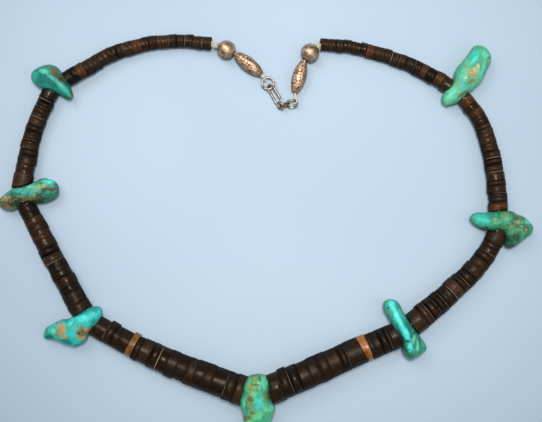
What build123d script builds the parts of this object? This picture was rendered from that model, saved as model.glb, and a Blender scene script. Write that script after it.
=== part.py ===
from build123d import *

import os
from collections import namedtuple
from math import cos, radians, sin, tan

# A heishi bead necklace: one graduated string of shell discs and seven turquoise nuggets,
# lying as a closed loop on a surface. X is to the right, Y runs from the centre stone
# towards the clasp, Z is up, and the surface is at zero. Lengths are in millimetres.

# Shell discs
DISC_DIAMETER = 11.0
DISC_THICKNESS = 3.2
DISC_HOLE = 1.5
DISC_CHAMFER = 0.22
DISC_GAP = 0.18

# Silver beads
ROUND_BEAD_DIAMETER = 6.9
BARREL_LENGTH = 12.2
BARREL_DIAMETER = 5.0
BARREL_TIP_DIAMETER = 2.1
BARREL_COLLAR_LENGTH = 0.7
BARREL_COLLAR_RISE = 0.1
BARREL_LEAVES = 7
BARREL_GROOVE_WIDTH = 0.35
BARREL_GROOVE_DEPTH = 0.35
BEAD_HOLE = 1.5
BEAD_GAP = 0.35

# Stones
STONE_HOLE = 1.5
STONE_GAP = 0.2

# Thread, with a knot and a loop at each end
THREAD_DIAMETER = 0.8
LOOP_THREAD_DIAMETER = 0.5
LOOP_RADIUS = 0.97
KNOT_DIAMETER = 1.3
LEFT_KNOT_CLEARANCE = 0.15
RIGHT_THREAD_SHOWN = 1.5
LEFT_STRING_SHOWN = 2.4
RIGHT_STRING_SHOWN = 1.3

# Clasp: a round ring, a hook in it, a link in the hook's eye and a tilted ring at the end
JUMP_RING_RADIUS = 2.25
JUMP_RING_WIRE = 0.75
JUMP_RING_TILT = 4.6
HOOK_BEND_RADIUS = 1.48
HOOK_WIRE = 0.8
HOOK_SHANK_LENGTH = 7.2
HOOK_RETURN_LENGTH = 5.0
HOOK_EYE_RADIUS = 1.2
HOOK_EYE_TURN = 300.0
HOOK_DIRECTION = -59.5
HOOK_ROLL = 48.0
HOOK_PITCH = 0.5
HOOK_SLACK = 0.2
LINK_WIRE = 0.55
LINK_RADIUS = 1.0
LINK_SLACK = 0.44
END_RING_RADIUS = 1.95
END_RING_WIRE = 0.8
END_RING_TILT = 54.0

# The line through every hole, from the left knot round to the right knot, chosen by eye from
# the way the string lies. A run that carries a bead is named after it, and its straight goes
# through that bead's hole.
RoutePoint = namedtuple("RoutePoint", "x y z carries")
STRING_ROUTE = [
    RoutePoint(-1.15, 57.95, 2.0, "barrel_bead_left"),
    RoutePoint(-12.4, 66.6, 3.5, "round_bead_left"),
    RoutePoint(-19.8, 69.7, 3.5, None),
    RoutePoint(-31.5, 71.2, 2.6, None),
    RoutePoint(-44.5, 70.3, 2.7, None),
    RoutePoint(-57.5, 66.4, 2.9, None),
    RoutePoint(-72.8, 57.0, 4.0, "nugget_left_top"),
    RoutePoint(-80.0, 50.9, 4.0, None),
    RoutePoint(-86.4, 37.2, 3.3, None),
    RoutePoint(-89.65, 17.9, 3.7, "nugget_left_middle"),
    RoutePoint(-87.9, 9.4, 3.7, None),
    RoutePoint(-78.9, -8.3, 3.9, None),
    RoutePoint(-68.3, -28.0, 4.2, "nugget_left_bottom"),
    RoutePoint(-60.9, -35.0, 4.3, None),
    RoutePoint(-46.9, -42.5, 4.8, None),
    RoutePoint(-29.5, -50.4, 5.2, None),
    RoutePoint(-9.1, -57.8, 5.55, "nugget_center"),
    RoutePoint(1.5, -57.4, 5.55, None),
    RoutePoint(15.0, -52.0, 5.35, None),
    RoutePoint(32.5, -44.5, 4.9, None),
    RoutePoint(47.3, -38.5, 4.7, "nugget_right_bottom"),
    RoutePoint(53.4, -34.3, 4.6, None),
    RoutePoint(63.4, -26.8, 4.3, None),
    RoutePoint(74.9, -16.6, 4.0, None),
    RoutePoint(82.0, -8.4, 4.1, None),
    RoutePoint(85.5, -1.0, 4.3, "nugget_right_middle"),
    RoutePoint(86.1, 7.6, 4.3, None),
    RoutePoint(85.6, 19.0, 3.5, None),
    RoutePoint(83.6, 31.0, 3.3, None),
    RoutePoint(80.1, 41.5, 3.6, None),
    RoutePoint(74.3, 48.9, 4.2, "nugget_right_top"),
    RoutePoint(67.9, 54.2, 4.2, None),
    RoutePoint(55.5, 61.7, 3.2, None),
    RoutePoint(41.0, 66.9, 2.8, None),
    RoutePoint(29.0, 69.35, 2.7, None),
    RoutePoint(18.7, 69.5, 3.5, "round_bead_right"),
    RoutePoint(14.3, 63.4, 3.5, "barrel_bead_right"),
    RoutePoint(10.85, 51.6, 2.4, None),
    RoutePoint(10.95, 49.5, 2.8, None),
]
# Share of the shorter run that a corner's arc takes up, beside a bead and elsewhere.
BEAD_CORNER_SHARE = 0.2
STRING_CORNER_SHARE = 0.45

# The clasp's rings where they lie, between the two ends of the string.
JUMP_RING_CENTER = (0.75, 55.42, 1.42)
JUMP_RING_DIRECTION = -61.5
JUMP_RING_THREAD_ANGLE = 195.0
END_RING_CENTER = (9.65, 47.48, 2.02)
END_RING_THREAD_ANGLE = 50.0
END_RING_LINK_ANGLE = 180.0
HOOK_EYE_LINK_ANGLE = 66.0

# Stretches of discs between two stones or an end of the string. Diameters are shares of the
# largest disc's, thickness is a share of the usual disc's, and each stretch starts at its own
# place in the cycles of uneven discs. Amber replaces the disc at a share of the stretch.
Stretch = namedtuple("Stretch", "half before after first last thick offset amber_at")
STRETCHES = [
    Stretch("left", None, "nugget_left_top", 0.425, 0.53, 1.02, 0, None),
    Stretch("left", "nugget_left_top", "nugget_left_middle", 0.545, 0.625, 0.96, 3, None),
    Stretch("left", "nugget_left_middle", "nugget_left_bottom", 0.635, 0.745, 1.0, 5, None),
    Stretch("left", "nugget_left_bottom", "nugget_center", 0.755, 0.985, 1.08, 3, 0.23),
    Stretch("right", "nugget_center", "nugget_right_bottom", 1.0, 0.855, 1.17, 6, 0.7),
    Stretch("right", "nugget_right_bottom", "nugget_right_middle", 0.82, 0.64, 1.05, 1, None),
    Stretch("right", "nugget_right_middle", "nugget_right_top", 0.645, 0.51, 0.88, 4, None),
    Stretch("right", "nugget_right_top", None, 0.51, 0.415, 0.95, 7, None),
]
THICKNESS_CYCLE = (1.0, 1.12, 0.84, 1.06, 0.92, 1.3, 0.96, 0.76, 1.1, 1.02, 0.9)
DIAMETER_CYCLE = (1.0, 0.975, 0.995, 0.985, 1.01, 0.97, 1.0)

# Stones. A section's place is a share of the length from the first tip, its edges are shares
# of the width to the left of the long axis, and its rise is a share of the thickness.
Section = namedtuple("Section", "at left right rise")
Stone = namedtuple("Stone", "length width thickness turn drill_at drill_side crest sections")
STONES = {
    "nugget_left_top": Stone(17.1, 9.8, 8.0, -35, 0.64, 0.05, 0.6, [
        Section(0, -0.11, -0.11, 0),
        Section(0.035, 0.10, -0.31, 0.5),
        Section(0.12, 0.41, -0.42, 0.8),
        Section(0.30, 0.56, -0.43, 1),
        Section(0.50, 0.52, -0.35, 0.98),
        Section(0.71, 0.40, -0.26, 0.85),
        Section(0.85, 0.28, -0.21, 0.62),
        Section(0.96, 0.13, -0.17, 0.35),
        Section(1, -0.04, -0.04, 0),
    ]),
    "nugget_left_middle": Stone(22.4, 9.0, 7.4, 12, 0.442, -0.033, 0.7, [
        Section(0, -0.20, -0.20, 0),
        Section(0.03, 0, -0.43, 0.45),
        Section(0.11, 0.14, -0.54, 0.75),
        Section(0.245, 0.32, -0.54, 0.95),
        Section(0.425, 0.34, -0.46, 1),
        Section(0.65, 0.43, -0.50, 0.95),
        Section(0.825, 0.46, -0.51, 0.8),
        Section(0.94, 0.30, -0.43, 0.55),
        Section(1, -0.07, -0.07, 0),
    ]),
    "nugget_left_bottom": Stone(23.6, 11.8, 8.4, 28, 0.765, -0.106, 0.6, [
        Section(0, 0.05, 0.05, 0),
        Section(0.03, 0.16, -0.07, 0.35),
        Section(0.11, 0.27, -0.18, 0.55),
        Section(0.215, 0.29, -0.41, 0.8),
        Section(0.32, 0.28, -0.62, 0.95),
        Section(0.45, 0.20, -0.70, 1),
        Section(0.60, 0.20, -0.62, 0.95),
        Section(0.725, 0.20, -0.45, 0.9),
        Section(0.87, 0.18, -0.38, 0.75),
        Section(0.96, 0.11, -0.22, 0.5),
        Section(1, -0.05, -0.05, 0),
    ]),
    "nugget_center": Stone(22.2, 13.0, 11.0, -90, 0.26, 0, 0.5, [
        Section(0, 0.07, 0.07, 0),
        Section(0.03, 0.26, -0.15, 0.5),
        Section(0.10, 0.36, -0.34, 0.8),
        Section(0.235, 0.38, -0.40, 0.95),
        Section(0.415, 0.41, -0.48, 1),
        Section(0.55, 0.52, -0.46, 1),
        Section(0.685, 0.46, -0.40, 0.9),
        Section(0.82, 0.37, -0.38, 0.75),
        Section(0.93, 0.25, -0.28, 0.5),
        Section(0.98, 0.11, -0.14, 0.25),
        Section(1, 0, 0, 0),
    ]),
    "nugget_right_bottom": Stone(24.1, 9.0, 8.8, -60, 0.527, -0.05, 0.45, [
        Section(0, -0.07, -0.07, 0),
        Section(0.025, 0.12, -0.26, 0.4),
        Section(0.10, 0.30, -0.37, 0.7),
        Section(0.245, 0.32, -0.42, 0.9),
        Section(0.45, 0.30, -0.40, 1),
        Section(0.66, 0.33, -0.43, 1),
        Section(0.805, 0.39, -0.57, 0.9),
        Section(0.91, 0.39, -0.56, 0.75),
        Section(0.975, 0.20, -0.48, 0.45),
        Section(1, -0.17, -0.17, 0),
    ]),
    "nugget_right_middle": Stone(23.4, 13.6, 8.6, -20, 0.432, 0.145, 0.5, [
        Section(0, -0.02, -0.02, 0),
        Section(0.03, 0.13, -0.11, 0.4),
        Section(0.13, 0.22, -0.19, 0.65),
        Section(0.256, 0.30, -0.22, 0.85),
        Section(0.385, 0.42, -0.17, 0.95),
        Section(0.513, 0.51, -0.08, 1),
        Section(0.60, 0.54, -0.18, 1),
        Section(0.684, 0.515, -0.45, 1),
        Section(0.79, 0.50, -0.40, 0.9),
        Section(0.876, 0.46, -0.21, 0.75),
        Section(0.95, 0.38, 0.02, 0.55),
        Section(0.985, 0.31, 0.10, 0.3),
        Section(1, 0.2, 0.2, 0),
    ]),
    "nugget_right_top": Stone(27.0, 10.8, 8.4, 52, 0.259, -0.074, 0.6, [
        Section(0, 0.04, 0.04, 0),
        Section(0.03, 0.15, -0.14, 0.35),
        Section(0.085, 0.25, -0.26, 0.6),
        Section(0.233, 0.25, -0.39, 0.85),
        Section(0.38, 0.315, -0.46, 0.95),
        Section(0.53, 0.43, -0.55, 1),
        Section(0.68, 0.435, -0.52, 1),
        Section(0.826, 0.435, -0.43, 0.85),
        Section(0.937, 0.38, -0.30, 0.6),
        Section(0.989, 0.185, -0.12, 0.3),
        Section(1, 0.03, 0.03, 0),
    ]),
}


# The string's line

route_points = [Vector(point.x, point.y, point.z) for point in STRING_ROUTE]


def corner_radius(corner):
    """The arc at one corner of the route, as large as its share of the shorter run allows."""
    before = route_points[corner] - route_points[corner - 1]
    after = route_points[corner + 1] - route_points[corner]
    by_bead = STRING_ROUTE[corner - 1].carries or STRING_ROUTE[corner].carries
    share = BEAD_CORNER_SHARE if by_bead else STRING_CORNER_SHARE
    half_turn = radians(before.get_angle(after) / 2)
    return share * min(before.length, after.length) / tan(half_turn)


corner_radii = [corner_radius(corner) for corner in range(1, len(route_points) - 1)]
print("string arcs, mm:", [round(radius, 1) for radius in corner_radii])

with BuildLine() as string_line:
    FilletPolyline(*route_points, radius=corner_radii)
string_path = string_line.wire()
string_steps = string_path.edges()
STRING_LENGTH = string_path.length
print("string length, mm:", round(STRING_LENGTH, 1))


def string_plane(station):
    """The plane across the string at a length along it, with X level."""
    share = station / STRING_LENGTH
    along = string_path % share
    return Plane(origin=string_path @ share, x_dir=Vector(0, 0, 1).cross(along), z_dir=along)


def bead_station(name):
    """The length along the string at the middle of the straight that a bead sits on."""
    run = [point.carries for point in STRING_ROUTE].index(name)
    before = sum(step.length for step in string_steps[: 2 * run])
    return before + string_steps[2 * run].length / 2


# Where the beads at the two ends sit, each against the one before it
knot_reach = KNOT_DIAMETER / 2
left_tip = knot_reach + LEFT_KNOT_CLEARANCE
right_tip = STRING_LENGTH - knot_reach - RIGHT_THREAD_SHOWN
barrel_stations = {
    "barrel_bead_left": left_tip + BARREL_LENGTH / 2,
    "barrel_bead_right": right_tip - BARREL_LENGTH / 2,
}
barrel_to_round = (BARREL_LENGTH + ROUND_BEAD_DIAMETER) / 2 + BEAD_GAP
round_stations = {
    "round_bead_left": barrel_stations["barrel_bead_left"] + barrel_to_round,
    "round_bead_right": barrel_stations["barrel_bead_right"] - barrel_to_round,
}
string_start = round_stations["round_bead_left"] + ROUND_BEAD_DIAMETER / 2 + LEFT_STRING_SHOWN
string_end = round_stations["round_bead_right"] - ROUND_BEAD_DIAMETER / 2 - RIGHT_STRING_SHOWN

pieces = {}


# Turquoise nuggets


def stone_section(stone, section):
    """A closed outline across a stone: four quarter ellipses that meet at its crest."""
    left = section.left * stone.width
    right = section.right * stone.width
    rise = section.rise * stone.thickness / 2
    crest = right + (left - right) * stone.crest
    middle = (left + right) / 2
    with BuildSketch(Plane.YZ.offset(section.at * stone.length)) as outline:
        with BuildLine():
            EllipticalCenterArc((crest, 0), left - crest, rise, start_angle=0, arc_size=90)
            EllipticalCenterArc((crest, 0), crest - right, rise, start_angle=90, arc_size=90)
            EllipticalCenterArc((middle, 0), middle - right, rise, start_angle=180, arc_size=90)
            EllipticalCenterArc((middle, 0), left - middle, rise, start_angle=270, arc_size=90)
        make_face()
    return outline.sketch.face()


def stone_tip(stone, section):
    """The point in which one end of a stone closes."""
    return Vertex(section.at * stone.length, section.left * stone.width, 0)


def stone_location(stone, drilled_at):
    """Turns a stone about its hole, so that the hole meets the string."""
    drill = Vector(stone.drill_at * stone.length, stone.drill_side * stone.width, 0)
    return Location(drilled_at, (0, 0, stone.turn)) * Location(-drill)


for name, stone in STONES.items():
    hole_plane = string_plane(bead_station(name))
    first, *middles, last = stone.sections
    with BuildPart() as rough:
        outlines = [stone_section(stone, section) for section in middles]
        loft(sections=[stone_tip(stone, first), *outlines, stone_tip(stone, last)])
    with BuildPart() as nugget:
        add(rough.part.moved(stone_location(stone, hole_plane.origin)))
        with BuildSketch(hole_plane):
            Circle(STONE_HOLE / 2)
        extrude(amount=stone.length, both=True, mode=Mode.SUBTRACT)
    pieces[name] = nugget.part


# Shell and amber discs


def stone_edge(name, side, radius):
    """The length along the string where a disc of a radius clears a stone, before or after it."""
    stone = STONES[name]
    half_run = string_steps[2 * [point.carries for point in STRING_ROUTE].index(name)].length / 2
    plane = string_plane(bead_station(name) + side * (half_run + DISC_THICKNESS))
    with BuildPart() as swept_disc:
        with BuildSketch(plane):
            Circle(radius)
        extrude(amount=-side * stone.length)
    met = pieces[name] & swept_disc.part
    reach = plane.to_local_coords(met).bounding_box()
    farthest = reach.max.Z if side > 0 else -reach.min.Z
    return bead_station(name) + side * (half_run + DISC_THICKNESS + farthest + STONE_GAP)


def drilled_disc(plane, radius, thickness):
    """One disc across the string, with its rims broken, centred on its plane."""
    with BuildPart() as disc:
        with BuildSketch(plane.offset(-thickness / 2)):
            Circle(radius)
            Circle(DISC_HOLE / 2, mode=Mode.SUBTRACT)
        extrude(amount=thickness)
        rims = disc.edges().filter_by(GeomType.CIRCLE).group_by(SortBy.RADIUS)[-1]
        chamfer(rims, DISC_CHAMFER)
    return disc.part


def lay_stretch(stretch):
    """The drilled discs of one stretch, evenly spread, and the amber one apart."""
    first_radius = stretch.first * DISC_DIAMETER / 2
    last_radius = stretch.last * DISC_DIAMETER / 2
    start = stone_edge(stretch.before, 1, first_radius) if stretch.before else string_start
    end = stone_edge(stretch.after, -1, last_radius) if stretch.after else string_end
    count = round((end - start) / (stretch.thick * DISC_THICKNESS))
    uneven = [THICKNESS_CYCLE[(stretch.offset + i) % len(THICKNESS_CYCLE)] for i in range(count)]
    seams = [start + (end - start) * sum(uneven[:i]) / sum(uneven) for i in range(count + 1)]
    amber_index = None if stretch.amber_at is None else int(stretch.amber_at * count)
    shells, ambers = [], []
    for index, (low, high) in enumerate(zip(seams, seams[1:])):
        share = index / (count - 1)
        trim = DIAMETER_CYCLE[(stretch.offset + index) % len(DIAMETER_CYCLE)]
        radius = (first_radius + (last_radius - first_radius) * share) * trim
        plane = string_plane((low + high) / 2)
        ahead = string_plane(min(high + (high - low) / 2, STRING_LENGTH))
        behind = string_plane(max(low - (high - low) / 2, 0))
        turn = radians(behind.z_dir.get_angle(ahead.z_dir) / 2)
        thickness = high - low - DISC_GAP - radius * turn
        disc = drilled_disc(plane, radius, thickness)
        (ambers if index == amber_index else shells).append(disc)
    return shells, ambers


shells_of = {"left": [], "right": []}
ambers_of = {"left": [], "right": []}
for stretch in STRETCHES:
    shells, ambers = lay_stretch(stretch)
    shells_of[stretch.half] += shells
    ambers_of[stretch.half] += ambers
    print("discs:", stretch.before, "to", stretch.after, len(shells) + len(ambers))

with BuildPart() as heishi_left:
    add(shells_of["left"])
pieces["heishi_left"] = heishi_left.part

with BuildPart() as heishi_right:
    add(shells_of["right"])
pieces["heishi_right"] = heishi_right.part

with BuildPart() as amber_disc_left:
    add(ambers_of["left"])
pieces["amber_disc_left"] = amber_disc_left.part

with BuildPart() as amber_disc_right:
    add(ambers_of["right"])
pieces["amber_disc_right"] = amber_disc_right.part


# Silver beads

for name, station in round_stations.items():
    bead_plane = string_plane(station)
    with BuildPart(bead_plane) as round_bead:
        Sphere(ROUND_BEAD_DIAMETER / 2)
        Hole(BEAD_HOLE / 2)
    pieces[name] = round_bead.part


def barrel_side(inset):
    """A barrel's outline along its axis, from collar to collar, sunk by an inset."""
    collar = BARREL_LENGTH / 2 - BARREL_COLLAR_LENGTH
    tip = BARREL_TIP_DIAMETER / 2
    return ThreePointArc((tip, -collar), (BARREL_DIAMETER / 2 - inset, 0), (tip, collar))


for name, station in barrel_stations.items():
    collar = BARREL_LENGTH / 2 - BARREL_COLLAR_LENGTH
    tip = BARREL_TIP_DIAMETER / 2
    with BuildPart() as barrel:
        with BuildSketch(Plane.XZ):
            with BuildLine():
                barrel_side(0)
                Polyline((tip, collar), (0, collar), (0, -collar), (tip, -collar))
            make_face()
        revolve(axis=Axis.Z)
        for leaf in range(BARREL_LEAVES):
            with BuildSketch(Plane.XZ.rotated((0, 360 * leaf / BARREL_LEAVES, 0))):
                with BuildLine():
                    barrel_side(0)
                    barrel_side(BARREL_GROOVE_DEPTH)
                make_face()
            extrude(amount=BARREL_GROOVE_WIDTH / 2, both=True, mode=Mode.SUBTRACT)
        for end in (-1, 1):
            with Locations((0, 0, end * (collar + BARREL_COLLAR_LENGTH / 2))):
                Cylinder(tip + BARREL_COLLAR_RISE, BARREL_COLLAR_LENGTH)
        Hole(BEAD_HOLE / 2)
    pieces[name] = barrel.part.moved(string_plane(station).location)


# Clasp


def laid_plane(origin, direction, rise, roll):
    """A plane whose X points in a direction, raised by an angle and rolled about itself."""
    return Plane(Pos(*origin) * Rot(0, 0, direction) * Rot(0, -rise, 0) * Rot(roll, 0, 0))


def on_ring(plane, radius, angle):
    """A point on a ring's centre line and the ring's direction there."""
    turn = radians(angle)
    point = plane.from_local_coords(Vector(radius * cos(turn), radius * sin(turn), 0))
    along = plane.x_dir * -sin(turn) + plane.y_dir * cos(turn)
    return point, along


def plane_across(origin, towards, along):
    """A plane through two points that a wire crosses as squarely as it can."""
    x_dir = (towards - origin).normalized()
    return Plane(origin=origin, x_dir=x_dir, z_dir=x_dir.cross(along.cross(x_dir)))


jump_plane = laid_plane(JUMP_RING_CENTER, JUMP_RING_DIRECTION, JUMP_RING_TILT, 0)
with BuildPart(jump_plane) as jump_ring:
    Torus(JUMP_RING_RADIUS, JUMP_RING_WIRE / 2)
pieces["jump_ring"] = jump_ring.part

hooked_at, _ = on_ring(jump_plane, JUMP_RING_RADIUS + HOOK_SLACK, 0)
hook_plane = laid_plane(hooked_at, HOOK_DIRECTION, -HOOK_PITCH, HOOK_ROLL)
eye_center = (HOOK_SHANK_LENGTH, HOOK_EYE_RADIUS - HOOK_BEND_RADIUS)
with BuildPart() as hook:
    with BuildLine(hook_plane) as hook_line:
        CenterArc(eye_center, HOOK_EYE_RADIUS, HOOK_EYE_TURN - 90, -HOOK_EYE_TURN)
        Line((HOOK_SHANK_LENGTH, -HOOK_BEND_RADIUS), (0, -HOOK_BEND_RADIUS))
        CenterArc((0, 0), HOOK_BEND_RADIUS, -90, -180)
        Line((0, HOOK_BEND_RADIUS), (HOOK_RETURN_LENGTH, HOOK_BEND_RADIUS))
    hook_path = hook_line.wire()
    with BuildSketch(Plane(origin=hook_path @ 0, z_dir=hook_path % 0)):
        Circle(HOOK_WIRE / 2)
    sweep(path=hook_path)
pieces["hook"] = hook.part

end_plane = laid_plane(END_RING_CENTER, 0, 0, END_RING_TILT)
with BuildPart(end_plane) as end_ring:
    Torus(END_RING_RADIUS, END_RING_WIRE / 2)
pieces["end_ring"] = end_ring.part

eye_plane = Plane(
    origin=hook_plane.from_local_coords(Vector(*eye_center, 0)),
    x_dir=hook_plane.x_dir,
    z_dir=hook_plane.z_dir,
)
linked_ring, ring_along = on_ring(end_plane, END_RING_RADIUS, END_RING_LINK_ANGLE)
linked_eye, eye_along = on_ring(eye_plane, HOOK_EYE_RADIUS, HOOK_EYE_LINK_ANGLE)
link_reach = (linked_ring - linked_eye).length
link_mean_length = link_reach + (HOOK_WIRE + END_RING_WIRE) / 2 + LINK_SLACK + LINK_WIRE
link_plane = plane_across(linked_eye, linked_ring, ring_along - eye_along)
link_plane = Plane(
    origin=(linked_eye + linked_ring) / 2,
    x_dir=link_plane.x_dir,
    z_dir=link_plane.z_dir,
)
with BuildPart() as chain_link:
    with BuildLine(link_plane) as link_line:
        straight = link_mean_length / 2 - LINK_RADIUS
        Line((-straight, -LINK_RADIUS), (straight, -LINK_RADIUS))
        CenterArc((straight, 0), LINK_RADIUS, -90, 180)
        Line((straight, LINK_RADIUS), (-straight, LINK_RADIUS))
        CenterArc((-straight, 0), LINK_RADIUS, 90, 180)
    link_path = link_line.wire()
    with BuildSketch(Plane(origin=link_path @ 0, z_dir=link_path % 0)):
        Circle(LINK_WIRE / 2)
    sweep(path=link_path)
pieces["chain_link"] = chain_link.part


# Thread, from the loop in the jump ring through every bead to the loop in the end ring

looped_jump, jump_along = on_ring(jump_plane, JUMP_RING_RADIUS, JUMP_RING_THREAD_ANGLE)
looped_end, end_along = on_ring(end_plane, END_RING_RADIUS, END_RING_THREAD_ANGLE)
with BuildPart() as thread:
    with BuildSketch(string_plane(0)):
        Circle(THREAD_DIAMETER / 2)
    sweep(path=string_path)
    with Locations(string_plane(0), string_plane(STRING_LENGTH)):
        Sphere(KNOT_DIAMETER / 2)
    with Locations(plane_across(looped_jump, string_path @ 0, jump_along)):
        Torus(LOOP_RADIUS, LOOP_THREAD_DIAMETER / 2)
    with Locations(plane_across(looped_end, string_path @ 1, end_along)):
        Torus(LOOP_RADIUS, LOOP_THREAD_DIAMETER / 2)
pieces["thread"] = thread.part


# Everything moves together so that the origin is at the bottom centre of its bounding box

boxes = [part.bounding_box() for part in pieces.values()]
low_x, high_x = min(box.min.X for box in boxes), max(box.max.X for box in boxes)
low_y, high_y = min(box.min.Y for box in boxes), max(box.max.Y for box in boxes)
low_z = min(box.min.Z for box in boxes)
to_origin = Location((-(low_x + high_x) / 2, -(low_y + high_y) / 2, -low_z))
print("moved by, mm:", to_origin.position)

os.makedirs("parts", exist_ok=True)
for name, part in pieces.items():
    placed = part.moved(to_origin)
    placed.label = name
    export_step(placed, f"parts/{name}.step")
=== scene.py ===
import math

import bpy
import numpy as np
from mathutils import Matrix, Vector, noise
from mathutils.bvhtree import BVHTree


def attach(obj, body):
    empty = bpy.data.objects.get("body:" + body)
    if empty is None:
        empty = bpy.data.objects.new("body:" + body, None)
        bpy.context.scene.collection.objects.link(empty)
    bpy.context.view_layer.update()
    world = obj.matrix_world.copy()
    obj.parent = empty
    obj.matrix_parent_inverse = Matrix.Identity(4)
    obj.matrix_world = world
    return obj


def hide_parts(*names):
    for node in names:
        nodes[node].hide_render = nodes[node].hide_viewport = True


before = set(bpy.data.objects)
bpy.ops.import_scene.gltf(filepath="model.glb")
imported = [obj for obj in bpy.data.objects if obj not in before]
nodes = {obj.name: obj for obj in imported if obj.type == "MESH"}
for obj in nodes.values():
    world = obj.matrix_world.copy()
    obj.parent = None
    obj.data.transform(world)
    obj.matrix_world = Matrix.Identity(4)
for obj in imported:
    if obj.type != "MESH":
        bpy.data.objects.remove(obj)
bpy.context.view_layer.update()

MM = 0.001
BODY = "root"
UP = (0.0, 0.0, 1.0)

# The frame's origin lies here on the mat's millimetre grid
MAT_ORIGIN = (100.2265, 76.7235)


def on_mat(x, y, z=0.0):
    """A point of the mat's grid, in millimetres, as a point of the row frame."""
    return Vector(((x - MAT_ORIGIN[0]) * MM, (y - MAT_ORIGIN[1]) * MM, z * MM))


def tone(red, green, blue):
    """A colour given as it looks on a screen, 0 to 255, in Blender's own scale."""
    return tuple(((part / 255 + 0.055) / 1.055) ** 2.4 for part in (red, green, blue))


def unit(way):
    """A direction at length one."""
    return way / np.linalg.norm(way)


# Camera and lights

# Place on the mat in millimetres, turns in degrees, lens and sensor in millimetres
CAMERA_AT = (96.8, 74.2, 262.26)
CAMERA_TURN = (2.25, -1.06, -0.23)
CAMERA_LENS = 46.49
CAMERA_SENSOR = 36.0
CAMERA_NEAR = 5.0 * MM

# Each lamp: kind, place and target in metres, power in watts, colour, and its own settings
MIDDLE = (0.0, 0.0, 0.0)
OVERHEAD_BEAM = {"shadow_soft_size": 0.045, "spot_size": math.radians(66.0), "spot_blend": 1.0}
LAMPS = {
    "overhead": (
        "SPOT", (0.005, 0.055, 0.37), (0.010, 0.026, 0.0), 3.8, (1.0, 0.97, 0.92), OVERHEAD_BEAM
    ),
    "window": ("AREA", (-0.20, 0.26, 0.42), MIDDLE, 0.75, (0.97, 0.98, 1.0), {"size": 0.30}),
    "fill": ("AREA", (0.33, -0.05, 0.42), MIDDLE, 0.35, (0.94, 0.97, 1.0), {"size": 0.40}),
}


def placed(name, data, at):
    """A new object in the scene."""
    made = bpy.data.objects.new(name, data)
    made.location = at
    bpy.context.scene.collection.objects.link(made)
    return made


def make_camera():
    data = bpy.data.cameras.new("camera")
    data.lens = CAMERA_LENS
    data.sensor_width = CAMERA_SENSOR
    data.clip_start = CAMERA_NEAR
    camera = placed("camera", data, on_mat(*CAMERA_AT))
    camera.rotation_euler = [math.radians(a) for a in CAMERA_TURN]
    bpy.context.scene.camera = camera
    bpy.context.scene.view_settings.view_transform = "Standard"


def lamp(name, kind, at, target, power, colour, settings):
    """A lamp that faces its target."""
    data = bpy.data.lights.new(name, kind)
    data.energy = power
    data.color = colour
    for key, value in settings.items():
        setattr(data, key, value)
    made = placed(name, data, at)
    made.rotation_euler = (Vector(target) - Vector(at)).to_track_quat("-Z", "Y").to_euler()


make_camera()
for lamp_name, lamp_row in LAMPS.items():
    lamp(lamp_name, *lamp_row)


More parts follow.
